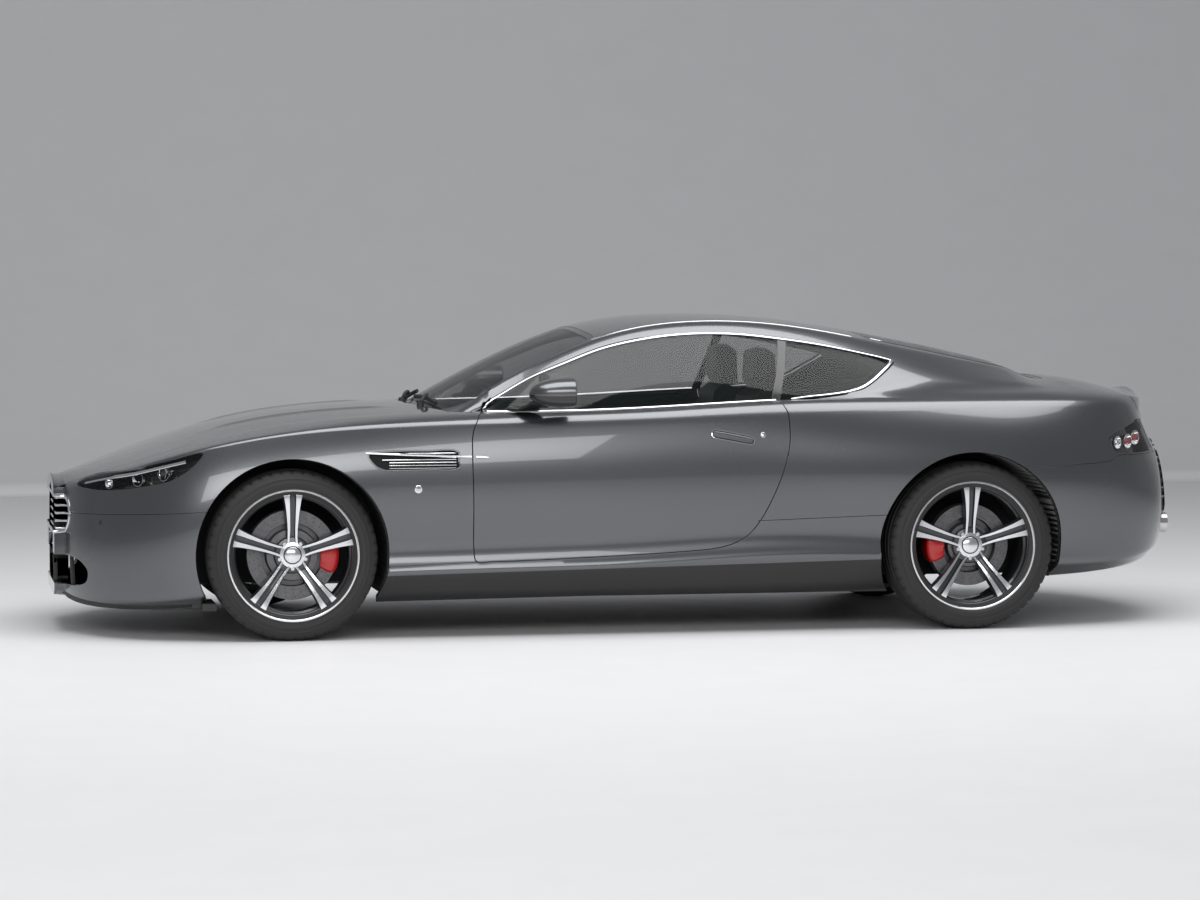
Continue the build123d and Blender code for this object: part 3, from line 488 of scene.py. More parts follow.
class Cut:
    """A sheet's flat map cut along lines into regions of triangles."""

    def __init__(self, sheet, lines, loops):
        self.sheet = sheet
        verts, edges = [], []
        for line, closed in [(p, False) for p in lines] + [(p, True) for p in loops]:
            start = len(verts)
            verts.extend(line)
            edges.extend((start + k, start + k + 1) for k in range(len(line) - 1))
            if closed:
                edges.append((start + len(line) - 1, start))
        fixed = np.array(verts)
        wide, tall = sheet.u[-1], sheet.v[-1]
        nu, nv = int(wide / SPACING), int(tall / SPACING)
        rim_u, rim_v = np.linspace(0, wide, nu), np.linspace(0, tall, nv)
        rim = [(u, 0) for u in rim_u] + [(wide, v) for v in rim_v[1:]]
        rim += [(u, tall) for u in rim_u[-2::-1]] + [(0, v) for v in rim_v[-2:0:-1]]
        start = len(verts)
        verts.extend(rim)
        edges.extend((start + k, start + (k + 1) % len(rim)) for k in range(len(rim)))
        uu, vv = np.meshgrid(rim_u[1:-1], rim_v[1:-1], indexing="ij")
        uu = uu + np.where(np.arange(nv - 2) % 2, SPACING / 2, 0)[None] * 0.98
        inner = np.stack([uu.ravel(), vv.ravel()], axis=1)
        inner = inner[inner[:, 0] < wide - SPACING / 3]
        keep = np.ones(len(inner), bool)
        cells = {}
        for p in fixed:
            cells.setdefault((int(p[0] / SPACING), int(p[1] / SPACING)), []).append(p)
        for k, p in enumerate(inner):
            ci, cj = int(p[0] / SPACING), int(p[1] / SPACING)
            close = [q for a in (-1, 0, 1) for b in (-1, 0, 1) for q in cells.get((ci + a, cj + b), ())]
            if close and np.min(np.linalg.norm(np.array(close) - p, axis=1)) < SPACING * 0.5:
                keep[k] = False
        verts.extend(inner[keep])
        out = delaunay_2d_cdt([Vector(p) for p in verts], edges, [], 0, 1e-7)
        self.flat = np.array([tuple(p) for p in out[0]])
        self.tris = np.array(out[2])
        fence = {tuple(sorted(e)) for e, source in zip(out[1], out[4]) if source}
        owner = {}
        for k, tri in enumerate(self.tris):
            for a, b in zip(tri, np.roll(tri, -1)):
                owner.setdefault((min(a, b), max(a, b)), []).append(k)
        beside = [[] for _ in self.tris]
        for edge, both in owner.items():
            if len(both) == 2 and edge not in fence:
                beside[both[0]].append(both[1])
                beside[both[1]].append(both[0])
        self.label = np.full(len(self.tris), -1)
        count = 0
        for seed in range(len(self.tris)):
            if self.label[seed] >= 0:
                continue
            stack = [seed]
            self.label[seed] = count
            while stack:
                for other in beside[stack.pop()]:
                    if self.label[other] < 0:
                        self.label[other] = count
                        stack.append(other)
            count += 1

    def region(self, flat):
        """Number of the region that holds a flat place."""
        a, b, c = (self.flat[self.tris[:, k]] for k in range(3))
        p = np.asarray(flat, float).reshape(-1)

        def turn(q, r):
            return (r[:, 0] - q[:, 0]) * (p[1] - q[:, 1]) - (r[:, 1] - q[:, 1]) * (p[0] - q[:, 0])

        s = np.stack([turn(a, b), turn(b, c), turn(c, a)], axis=1)
        hit = np.where((s > 0).all(axis=1) | (s < 0).all(axis=1))[0]
        return int(self.label[hit[0]])

    def skin(self, places, sink=0.0, depth=0.014, inner=True, hollow=False):
        """Points, normals and faces of the regions that hold the places, with folded edges and a back.

        A hollow skin is the open box behind them instead."""
        tris = self.tris[np.isin(self.label, [self.region(p) for p in places])]
        used = np.unique(tris)
        index = np.full(len(self.flat), -1)
        index[used] = np.arange(len(used))
        tris = index[tris]
        flat = self.flat[used]
        normal = self.sheet.normal_at(flat)
        points = self.sheet.at(flat)
        centre = np.abs(points[:, 1]) < 1e-6
        points[centre, 1] = 0
        normal[centre, 1] = 0
        normal = unit(normal)
        points = points - normal * sink
        a, b, c = (points[tris[:, k]] for k in range(3))
        face = np.cross(b - a, c - a)
        turned = (face * normal[tris[:, 0]]).sum(axis=1) < 0
        tris[turned] = tris[turned][:, ::-1]
        solid = np.linalg.norm(face, axis=1) > 1e-12
        tris = tris[solid]
        pairs = np.concatenate([tris[:, [0, 1]], tris[:, [1, 2]], tris[:, [2, 0]]])
        keys = {(int(p), int(q)) for p, q in pairs}
        rim = [(p, q) for p, q in keys if (q, p) not in keys and not (centre[p] and centre[q])]
        out = Skin(points, normal, [tuple(t) for t in tris], centre)
        if hollow:
            out.hollow(rim, depth)
        elif rim:
            out.fold(rim, depth, inner)
        return out


class Skin:
    """Part of a skin ready to become a mesh."""

    def __init__(self, points, normals, faces, centre):
        self.points, self.normals, self.faces, self.centre = points, normals, faces, centre

    def fold(self, rim, depth, inner):
        points, normals = self.points, self.normals
        count = len(points)
        out = np.zeros_like(points)
        for p, q in rim:
            away = np.cross(points[q] - points[p], normals[p])
            away /= max(np.linalg.norm(away), 1e-9)
            out[p] += away
            out[q] += away
        names = sorted({k for edge in rim for k in edge})
        at = {k: n for n, k in enumerate(names)}
        ids = np.array(names)
        away, up, base = unit(out[ids]), normals[ids], points[ids]
        away[self.centre[ids], 1] = 0
        rings = [
            (base + away * 0.0006 - up * 0.0002, unit(up * 0.8 + away * 0.6)),
            (base + away * 0.0012 - up * 0.0014, unit(away + up * 0.15)),
            (base + away * 0.0012 - up * depth, away),
        ]
        faces = list(self.faces)
        all_points, all_normals = [points], [normals]
        below = None
        for n, (ring, ring_normal) in enumerate(rings):
            start = count + n * len(ids)
            for p, q in rim:
                u, w = (p, q) if below is None else (below + at[p], below + at[q])
                faces.append((w, u, start + at[p], start + at[q]))
            all_points.append(ring)
            all_normals.append(ring_normal)
            below = start
        centre = [self.centre] + [self.centre[ids]] * 3
        if inner:
            start = count + 3 * len(ids)
            all_points.append(points - normals * depth)
            all_normals.append(-normals)
            centre.append(self.centre)
            faces.extend(tuple(start + k for k in reversed(f)) for f in self.faces)
        self.points = np.concatenate(all_points)
        self.normals = np.concatenate(all_normals)
        self.centre = np.concatenate(centre)
        self.faces = faces

    def hollow(self, rim, depth):
        points, normals = self.points, self.normals
        names = sorted({k for edge in rim for k in edge})
        at = {k: len(points) + n for n, k in enumerate(names)}
        away = np.zeros_like(points)
        for p, q in rim:
            side = np.cross(points[q] - points[p], normals[p])
            away[p] += side
            away[q] += side
        ids = np.array(names)
        inward = -unit(away[ids])
        lower = len(ids)
        walls = [(at[q], at[p], at[p] + lower, at[q] + lower) for p, q in rim]
        self.faces = list(self.faces) + walls
        edge = points[ids]
        self.points = np.concatenate([points - normals * depth, edge, edge - normals[ids] * depth])
        self.normals = np.concatenate([normals, inward, inward])
        self.centre = np.concatenate([self.centre, self.centre[ids], self.centre[ids]])

    def other_side(self):
        flip = np.array([1, -1, 1])
        faces = [tuple(reversed(f)) for f in self.faces]
        return Skin(self.points * flip, self.normals * flip, faces, self.centre)

    def both_sides(self):
        """This half joined to its mirror image along the middle of the car."""
        index = np.where(self.centre, np.arange(len(self.points)), -1)
        free = np.where(~self.centre)[0]
        index[free] = len(self.points) + np.arange(len(free))
        other = self.other_side()
        faces = self.faces + [tuple(int(index[k]) for k in f) for f in other.faces]
        points = np.concatenate([self.points, other.points[free]])
        normals = np.concatenate([self.normals, other.normals[free]])
        return Skin(points, normals, faces, np.concatenate([self.centre, other.centre[free]]))


def add_mesh(name, points, faces, material, body=None, normals=None, replaces=()):
    mesh = bpy.data.meshes.new(name)
    mesh.from_pydata([tuple(p) for p in np.asarray(points).tolist()], [], [tuple(map(int, f)) for f in faces])
    mesh.polygons.foreach_set("use_smooth", [True] * len(mesh.polygons))
    if normals is not None:
        mesh.normals_split_custom_set_from_vertices([tuple(n) for n in np.asarray(normals).tolist()])
    mesh.materials.append(material)
    piece = bpy.data.objects.new(name, mesh)
    bpy.context.scene.collection.objects.link(piece)
    if body:
        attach(piece, body)
    if replaces:
        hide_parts(*replaces)
    return piece


def add_skin(name, skin, material, body="body", replaces=()):
    return add_mesh(name, skin.points, skin.faces, material, body, skin.normals, replaces)


def nodes_for(side, replaces, shared=""):
    """CAD nodes that a piece stands for; the left piece takes those that hold both sides."""
    return ([replaces.format(side)] if replaces else []) + ([shared] if shared and side == "left" else [])


def add_sides(name, skin, material, body="body", replaces="", shared=""):
    """The skin on the left of the car and its mirror image on the right."""
    for side, half in (("left", skin), ("right", skin.other_side())):
        nodes = nodes_for(side, replaces, shared)
        add_skin(f"{name}_{side}", half, material, body.format(side), nodes)


def flat_line(find, table, lead=(0, 0)):
    """Soft line through a table's points laid on a skin and run on at its ends."""
    line = find(smooth(points_of(table), 0.008))
    half_and_full = np.array([[0.5], [1.0]])
    head = line[0] - unit(line[3] - line[0]) * lead[0] * half_and_full[::-1]
    tail = line[-1] + unit(line[-1] - line[-4]) * lead[1] * half_and_full
    parts = [head] * (lead[0] > 0) + [line] + [tail] * (lead[1] > 0)
    return np.concatenate(parts)


def flat_loop(find, table):
    return find(smooth(points_of(table), 0.008, closed=True))


def seam(sheet, line, width):
    """Outline of a narrow gap along a line."""
    return np.concatenate([sheet.beside(line, width / 2), sheet.beside(line, -width / 2)[::-1]])


class Shape:
    """Closed forms gathered into one piece."""

    def __init__(self):
        self.points, self.faces, self.marks = [], [], []

    def put(self, points, faces, mark=0):
        start = sum(len(p) for p in self.points)
        self.points.append(np.asarray(points, float))
        self.faces += [tuple(start + int(k) for k in f) for f in faces]
        self.marks += [mark] * len(faces)
        return self

    def loft(self, rings, mark=0, caps=True, closed=False, marks=None):
        """Skin over rings of equal counts; marks gives a finish for each side of a ring."""
        n = len(rings[0])
        faces, kinds = [], []
        rows = len(rings)
        for r in range(rows if closed else rows - 1):
            low, high = r * n, (r + 1) % rows * n
            for k in range(n):
                faces.append((low + k, low + (k + 1) % n, high + (k + 1) % n, high + k))
                kinds.append(marks[k] if marks else mark)
        if caps and not closed:
            faces += [tuple(range(n))[::-1], tuple(range((rows - 1) * n, rows * n))]
            kinds += [mark, mark]
        self.put(np.concatenate(rings), faces)
        self.marks[-len(kinds):] = kinds
        return self

    def lathe(self, profile, steps=96, mark=0, marks=None):
        """Closed profile of (radius, y) turned about the y axis."""
        rings = []
        for turn in np.linspace(0, 2 * math.pi, steps, endpoint=False):
            p = np.asarray(profile, float)
            rings.append(np.stack([p[:, 0] * math.sin(turn), p[:, 1], p[:, 0] * math.cos(turn)], axis=1))
        return self.loft(rings, mark, False, True, marks)

    def box(self, low, high):
        """Block between two corners, with its top and bottom edges bevelled."""
        low, high = np.array(low, float), np.array(high, float)
        bevel = 0.002
        rings = []
        for share, inset in ((0, bevel), (0, 0), (1, 0), (1, bevel)):
            z = low[2] + share * (high[2] - low[2])
            if inset == 0:
                z += bevel if share == 0 else -bevel
            x0, x1, y0, y1 = low[0] + inset, high[0] - inset, low[1] + inset, high[1] - inset
            rings.append(np.array([(x0, y0, z), (x1, y0, z), (x1, y1, z), (x0, y1, z)]))
        return self.loft(rings)

    def tube(self, path, radius, sides, flat=1.0):
        path = np.asarray(path, float)
        along = unit(np.gradient(path, axis=0))
        side = unit(np.cross(along, [0.03, 0.02, 1]))
        up = np.cross(side, along)
        sizes = np.broadcast_to(radius, (len(path),))
        rings = []
        for p, s, u, r in zip(path, side, up, sizes):
            turn = np.linspace(0, 2 * math.pi, sides, endpoint=False)[:, None]
            rings.append(p + r * (np.cos(turn) * s + flat * np.sin(turn) * u))
        return self.loft(rings)

    def bead(self, path, normals, width, height, sink=0.001, closed=False):
        """Rounded strip lying on a skin along a path."""
        path, normals = np.asarray(path, float), unit(np.asarray(normals, float))
        along = np.roll(path, -1, axis=0) - np.roll(path, 1, axis=0) if closed else np.gradient(path, axis=0)
        side = unit(np.cross(unit(along), normals))
        wide = np.broadcast_to(width, (len(path),))
        outline = [(-0.5, -1), (-0.5, 0.35), (-0.36, 0.82), (0, 1), (0.36, 0.82), (0.5, 0.35), (0.5, -1)]
        across = [(a, b * height if b > 0 else b * sink) for a, b in outline]
        rings = []
        for p, n, s, w in zip(path, normals, side, wide):
            rings.append(np.array([p + s * a * w + n * b for a, b in across]))
        return self.loft(rings, closed=closed)

    def join(self, other):
        start = len(self.marks)
        self.put(np.concatenate(other.points), other.faces)
        self.marks[start:] = other.marks
        return self

    def moved(self, turn=None, by=(0, 0, 0), flip=False):
        out = Shape()
        points = np.concatenate(self.points)
        if turn is not None:
            points = points @ np.array(turn).T
        points = points + np.array(by)
        faces = self.faces
        if flip:
            points = points * [1, -1, 1]
            faces = [tuple(reversed(f)) for f in faces]
        out.put(points, faces)
        out.marks = list(self.marks)
        return out

    def make(self, name, finishes, body=None, slot=None, replaces=(), sharp=32):
        finishes = finishes if isinstance(finishes, (list, tuple)) else [finishes]
        piece = add_mesh(name, np.concatenate(self.points), self.faces, finishes[0])
        for finish in finishes[1:]:
            piece.data.materials.append(finish)
        piece.data.polygons.foreach_set("material_index", self.marks)
        work = bmesh.new()
        work.from_mesh(piece.data)
        bmesh.ops.recalc_face_normals(work, faces=work.faces)
        work.to_mesh(piece.data)
        work.free()
        piece.data.set_sharp_from_angle(angle=math.radians(sharp))
        if body:
            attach(piece, body)
        if replaces:
            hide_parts(*replaces)
        return piece

    def make_sides(self, name, finishes, body="body", slot=None, replaces=""):
        for side, shape in (("left", self), ("right", self.moved(flip=True))):
            shape.make(f"{name}_{side}", finishes, body.format(side), slot, nodes_for(side, replaces))


def spin(turn):
    """Turn about the y axis that carries +z towards +x."""
    c, s = math.cos(turn), math.sin(turn)
    return np.array([(c, 0, s), (0, 1, 0), (-s, 0, c)])


class Value:
    """Shader value that works in plain sums."""

    def __init__(self, finish, socket):
        self.finish, self.socket = finish, socket

    def sum(self, operation, *values):
        node = self.finish.add("ShaderNodeMath", {"operation": operation}, dict(enumerate(values)))
        return Value(self.finish, node.outputs[0])

    def __add__(self, other):
        return self.sum("ADD", self, other)

    def __sub__(self, other):
        return self.sum("SUBTRACT", self, other)

    def __mul__(self, other):
        return self.sum("MULTIPLY", self, other)

    def __pow__(self, other):
        return self.sum("POWER", self, other)

    def __radd__(self, other):
        return self.sum("ADD", other, self)

    def __rmul__(self, other):
        return self.sum("MULTIPLY", other, self)

    def over(self, edge):
        return self.sum("GREATER_THAN", self, edge)

    def wave(self):
        return self.sum("SINE", self)

    def clipped(self, low=0.0, high=1.0):
        return self.sum("MINIMUM", self.sum("MAXIMUM", self, low), high)


class Finish:
    """Procedural finish built on one Principled shader."""

    def __init__(self, name, **fixed):
        self.material = bpy.data.materials.new(name)
        self.material.use_nodes = True
        self.tree = self.material.node_tree
        self.shader = next(n for n in self.tree.nodes if n.type == "BSDF_PRINCIPLED")
        for socket, value in fixed.items():
            self.shader.inputs[socket.replace("_", " ")].default_value = value
        place = self.add("ShaderNodeTexCoord")
        self.place = Value(self, place.outputs["Object"])
        split = self.add("ShaderNodeSeparateXYZ", {}, {0: self.place})
        self.x, self.y, self.z = (Value(self, s) for s in split.outputs)

    def feed(self, socket, value):
        if isinstance(value, Value):
            self.tree.links.new(value.socket, socket)
        else:
            socket.default_value = value

    def add(self, kind, settings=None, inputs=None):
        node = self.tree.nodes.new(kind)
        for key, value in (settings or {}).items():
            setattr(node, key, value)
        for key, value in (inputs or {}).items():
            self.feed(node.inputs[key], value)
        return node

    def noise(self, scale, detail=2.0, rough=0.5, place=None):
        sockets = {"Vector": place or self.place, "Scale": scale, "Detail": detail, "Roughness": rough}
        node = self.add("ShaderNodeTexNoise", {}, sockets)
        return Value(self, node.outputs["Fac"])

    def cells(self, scale):
        node = self.add("ShaderNodeTexVoronoi", {}, {"Vector": self.place, "Scale": scale})
        return Value(self, node.outputs["Distance"])

    def stretched(self, x, y, z):
        node = self.add("ShaderNodeVectorMath", {"operation": "MULTIPLY"}, {0: self.place, 1: (x, y, z)})
        return Value(self, node.outputs[0])

    def ramp(self, share, low, high):
        """Value between low and high."""
        return share * (high - low) + low

    def colour(self, share, low, high):
        settings = {"data_type": "RGBA", "clamp_factor": True}
        node = self.add("ShaderNodeMix", settings, {0: share, 6: (*low, 1), 7: (*high, 1)})
        self.feed(self.shader.inputs["Base Color"], Value(self, node.outputs[2]))
        return self

    def rough(self, share, low, high):
        self.feed(self.shader.inputs["Roughness"], self.ramp(share, low, high))
        return self

    def bump(self, height, depth, strength=1.0):
        node = self.add("ShaderNodeBump", {}, {"Strength": strength, "Distance": depth, "Height": height})
        self.feed(self.shader.inputs["Normal"], Value(self, node.outputs[0]))
        return self


# Finishes
def car_paint():
    f = Finish("graphite paint", Metallic=0.88, Coat_Weight=1.0, Coat_Roughness=0.025, Coat_IOR=1.45)
    flakes = f.cells(1400)
    cloud = f.noise(1.2, 2)
    share = (flakes * 0.8 + cloud * 0.35).clipped()
    f.colour(share, (0.085, 0.089, 0.095), (0.145, 0.15, 0.158)).rough(cloud, 0.25, 0.30)
    return f.material


def black_gloss():
    f = Finish("black gloss", Coat_Weight=0.4, Coat_Roughness=0.05)
    dust = f.noise(40, 4)
    f.colour(dust, (0.012,) * 3, (0.0204,) * 3).rough(dust, 0.16, 0.24)
    return f.material


def black_satin():
    f = Finish("black plastic")
    pores, patch = f.cells(900), f.noise(6, 3)
    f.colour(patch, (0.018,) * 3, (0.0288,) * 3).rough(patch, 0.5, 0.62).bump(pores, 0.0002, 0.3)
    return f.material


def bright_chrome():
    f = Finish("bright chrome", Metallic=1.0)
    wash = f.noise(5, 3)
    f.colour(wash, (0.78, 0.79, 0.81), (0.88, 0.885, 0.9)).rough(f.noise(30, 3), 0.06, 0.12)
    return f.material


def clear_glass(name, tint, alpha_edge):
    f = Finish(name, Roughness=0.02, Specular_IOR_Level=0.6)
    film = f.noise(2.0, 3)
    f.colour(film, tint, tuple(c * 1.25 for c in tint))
    fresnel = Value(f, f.add("ShaderNodeLayerWeight", {}, {"Blend": 0.35}).outputs["Facing"])
    f.feed(f.shader.inputs["Alpha"], (fresnel ** 3.0 * 0.5 + alpha_edge + film * 0.02).clipped(0.05, 1.0))
    return f.material


PAINT = car_paint()
GLOSS = black_gloss()
PLASTIC = black_satin()
CHROME = bright_chrome()
GLASS = clear_glass("tinted glass", (0.008, 0.013, 0.012), 0.26)
LENS = clear_glass("clear lens", (0.10, 0.105, 0.11), 0.06)
TAIL_LENS = clear_glass("smoked lens", (0.13, 0.125, 0.13), 0.16)


def lamp_red():
    f = Finish("lamp red", Coat_Weight=1.0)
    ribs = (f.z * 900).wave()
    f.colour(ribs * 0.5 + 0.5, (0.25, 0.004, 0.004), (0.5, 0.02, 0.015)).rough(f.noise(60, 2), 0.2, 0.3)
    return f.material


def wire_mesh():
    """Fine diamond mesh with open gaps."""
    f = Finish("intake mesh", Metallic=0.6)
    one, other = ((f.y + f.z) * 620).wave(), ((f.y - f.z) * 620).wave()
    f.colour(f.noise(50, 2), (0.05, 0.05, 0.052), (0.11, 0.11, 0.115)).rough(f.noise(40, 2), 0.35, 0.5)
    f.feed(f.shader.inputs["Alpha"], one.sum("MAXIMUM", one.over(0.55), other.over(0.55)))
    return f.material


RED_LENS, MESH = lamp_red(), wire_mesh()


# Shut lines and openings of the lower body
def arch_line(axle):
    """Wheel opening: round over the top and straight down to the middle of the floor."""
    turn = np.radians(np.linspace(-28, 208, 84))
    flat = side_find(np.stack([axle[0] + ARCH_R * np.cos(turn), axle[2] + ARCH_R * np.sin(turn)], axis=1))
    ends = flat[[0, -1]] * [1, 0] - [0, 0.01]
    return np.concatenate([ends[:1], flat, ends[1:]])


def to_middle(sheet, line, start=True, end=True):
    """The line run on at its ends to the middle of the car."""
    parts = [line]
    if start:
        parts.insert(0, [[line[0, 0], sheet.v[-1] + 0.01]])
    if end:
        parts.append([[line[-1, 0], sheet.v[-1] + 0.01]])
    return np.concatenate(parts)


door_line = np.concatenate([
    top_find(points_of([(668, 730)])),
    side_find(smooth(points_of(DOOR_LINE), 0.008)),
    top_find(points_of([(-522, 785)])),
])
bonnet_edge = np.concatenate([
    nose_find(points_of([(262, 548), (270, 578)])), top_find(smooth(points_of(BONNET_EDGE), 0.01)),
])
bonnet_rear = to_middle(body, flat_line(top_find, BONNET_REAR, (0.012, 0)), False)
boot_edge = np.concatenate([
    top_find(smooth(points_of(BOOT_EDGE), 0.01)), tail_find(smooth(points_of(BOOT_FACE), 0.01)),
])
tail_line = np.concatenate([
    flat_line(side_find, TAIL_LINE, (0.02, 0)), tail_find(smooth(points_of(TAIL_FACE), 0.01)),
])
nose_line = np.concatenate([nose_find(points_of([(360, 486)])), flat_line(side_find, NOSE_LINE, (0, 0.03))])
arches = [arch_line(FRONT_AXLE), arch_line(REAR_AXLE)]
floor_edge = np.array([[np.interp(-x, -body.grid[:, 0, 0], body.u), body.v[FLOOR_J]] for x in (1.2, -1.1)])
cab_end = np.linspace(foot_line[-1], [foot_line[-1][0], body.v[-1] + 0.01], 12)
head_loop = flat_loop(side_find, HEADLAMP)
tail_loop = np.concatenate([
    side_find(smooth(points_of(TAIL_LAMP_SIDE), 0.01)), tail_find(smooth(points_of(TAIL_LAMP_FACE), 0.01)),
])
grille_line = to_middle(body, flat_line(nose_find, GRILLE))
intake_line = to_middle(body, flat_line(nose_find, INTAKE))
vent_loop = flat_loop(side_find, VENT)
body_cut = Cut(
    body,
    [
        *arches, floor_edge, floor_edge + [0, body.v[ROCKER_J] - body.v[FLOOR_J] - 0.012], foot_line, cab_end,
        grille_line, intake_line,
        to_middle(body, flat_line(top_find, CABIN_FRONT), True, False),
        seam(body, flat_line(top_find, COWL_SIDE, (0.01, 0.0)), 0.003),
    ],
    [
        seam(body, door_line, DOOR_GAP), seam(body, bonnet_edge, LID_GAP), seam(body, bonnet_rear, COWL_GAP),
        seam(body, to_middle(body, boot_edge, True, False), LID_GAP),
        seam(body, to_middle(body, tail_line, False), WING_GAP),
        seam(body, nose_line, WING_GAP),
        seam(body, flat_line(side_find, SILL_FRONT, (0.02, 0.01)), SILL_GAP),
        seam(body, flat_line(side_find, SILL_REAR, (0.01, 0.03)), SILL_GAP),
        head_loop, body.beside(head_loop, 0.003, True), tail_loop, vent_loop,
    ],
)
SIDE_PANELS = [
    ("front_fender", (1.0, 0.6), "body"), ("door", (0.0, 0.7), "door_{}"), ("quarter", (-1.0, 0.7), "body"),
]
for panel, place, rider in SIDE_PANELS:
    add_sides(panel + "_skin", body_cut.skin(side_find([place])), PAINT, rider, panel + "_{}")
add_sides("sill_skin", body_cut.skin(side_find([(0.0, 0.30)])), PAINT, "body", shared="sills")
# Black strip from just under the sill crease down to the floor line. Its lowest part is the real black
# under-sill; the body paint above that is drawn black as painted shade.
add_sides("sill_foot_and_painted_shade", body_cut.skin(side_find([(0.0, 0.18)])), PLASTIC)
CENTRE_PANELS = [
    ("front_bumper", nose_find([(0.45, 0.45)]), "body"),
    ("rear_bumper", tail_find([(0.2, 0.6)]), "body"),
    ("bonnet", top_find([(1.436, 0.1)]), "bonnet"),
    ("boot_lid", top_find([(-2.0, 0.1)]), "boot_lid"),
]
for node, seeds, rider in CENTRE_PANELS:
    add_skin(node + "_skin", body_cut.skin(seeds).both_sides(), PAINT, rider, [node])
add_skin("cowl_panel", body_cut.skin(top_find([(0.83, 0.3)]), sink=0.02).both_sides(), PLASTIC)

# Windows, roof and pillars
screen_line = flat_line(cab_top_find, SCREEN)
rear_line = flat_line(cab_top_find, REAR_WINDOW)
daylight = flat_line(cab_side_find, DAYLIGHT, (0.02, 0.02))
pillar_front, pillar_back = (
    flat_line(cab_side_find, [(x + shift, z) for x, z in PILLAR], (0.05, 0))
    for shift in (PILLAR_HALF, -PILLAR_HALF)
)
rail = flat_line(cab_top_find, RAIL_EDGE, (0.006, 0.006))
cab_cut = Cut(
    cab,
    [
        to_middle(cab, screen_line), to_middle(cab, cab.beside(screen_line, RIM_WIDE)),
        to_middle(cab, rear_line), to_middle(cab, cab.beside(rear_line, RIM_WIDE)),
        daylight, cab.beside(daylight, DAYLIGHT_FRAME), pillar_front, pillar_back,
    ],
    [seam(cab, rail, ROOF_GAP)],
)
add_sides("side_frame", cab_cut.skin(cab_side_find([(-1.1, 1.0)])), PAINT, "body")
roof = cab_cut.skin(cab_top_find([(-0.3, 0.1)])).both_sides()
add_skin("roof_skin", roof, PAINT, "body", ["roof"])
for node, place in (("windscreen", (0.5, 0.1)), ("rear_window", (-1.3, 0.1))):
    pane = cab_cut.skin(cab_top_find([place]), 0.002, PANE_THICK)
    add_skin(node + "_glass", pane.both_sides(), GLASS, "body", [node])
for name, place in (("windscreen_rim", (0.5, 0.594)), ("rear_window_rim", (-1.3, 0.43))):
    add_skin(name, cab_cut.skin(cab_top_find([place]), 0.0025, 0.006).both_sides(), GLOSS)
door_pane = cab_cut.skin(cab_side_find([(0.0, 1.05)]), PANE_SINK, PANE_THICK)
add_sides("door_window", door_pane, GLASS, "door_{}", "door_glass_{}")
quarter_pane = cab_cut.skin(cab_side_find([(-0.8, 1.03)]), PANE_SINK, PANE_THICK)
add_sides("quarter_window", quarter_pane, GLASS, "body", shared="quarter_glass")
add_sides("pillar_cover", cab_cut.skin(cab_side_find([(-0.55, 1.05)]), 0.002, 0.008), GLOSS)


# Wheels, seen from outside: y grows outwards from the middle of the rim
def turned_alloy():
    f = Finish("turned alloy", Metallic=1.0, Coat_Weight=0.3)
    radius = (f.x * f.x + f.z * f.z) ** 0.5
    lines = f.noise(1.0, 2, 0.5, f.stretched(900, 900, 900))
    f.colour(lines, (0.70, 0.71, 0.73), (0.84, 0.845, 0.86)).rough(lines, 0.16, 0.26)
    f.bump((radius * 4000).wave(), 0.00005, 0.2)
    return f.material


def wheel_paint():
    f = Finish("wheel graphite", Metallic=0.7, Coat_Weight=0.6)
    flakes = f.cells(1800)
    f.colour(flakes, (0.035, 0.037, 0.04), (0.09, 0.093, 0.1)).rough(f.noise(9, 3), 0.28, 0.4)
    return f.material


def tyre_rubber():
    f = Finish("tyre rubber")
    dust, grain = f.noise(7, 4), f.cells(700)
    f.colour(dust, (0.012, 0.012, 0.012), (0.028, 0.027, 0.026)).rough(dust, 0.55, 0.75)
    f.bump(grain, 0.0003, 0.4)
    return f.material


def disc_iron():
    f = Finish("turned iron", Metallic=0.9)
    rings = f.noise(60, 3)
    f.colour(rings, (0.10, 0.10, 0.105), (0.2, 0.2, 0.205)).rough(rings, 0.3, 0.45)
    return f.material


def caliper_red():
    f = Finish("caliper red", Coat_Weight=0.6, Coat_Roughness=0.08)
    cloud, skin = f.noise(25, 3), f.noise(500, 2)
    f.colour(cloud, (0.42, 0.004, 0.006), (0.6, 0.012, 0.012)).rough(cloud, 0.3, 0.42).bump(skin, 0.0003, 0.3)
    return f.material


TURNED, WHEEL_DARK, RUBBER = turned_alloy(), wheel_paint(), tyre_rubber()
IRON, RED = disc_iron(), caliper_red()
RIM_LIP = 0.004
SPOKE_PAIRS = 5
HOLE_ROWS = 30
FULL_TURN = 6.2832


def circle(radius, sides, y, z):
    """Ring of points about an axis that runs along y, at height z."""
    turns = np.linspace(0, FULL_TURN, sides, endpoint=False)
    return np.array([(radius * math.cos(a), y, z + radius * math.sin(a)) for a in turns])


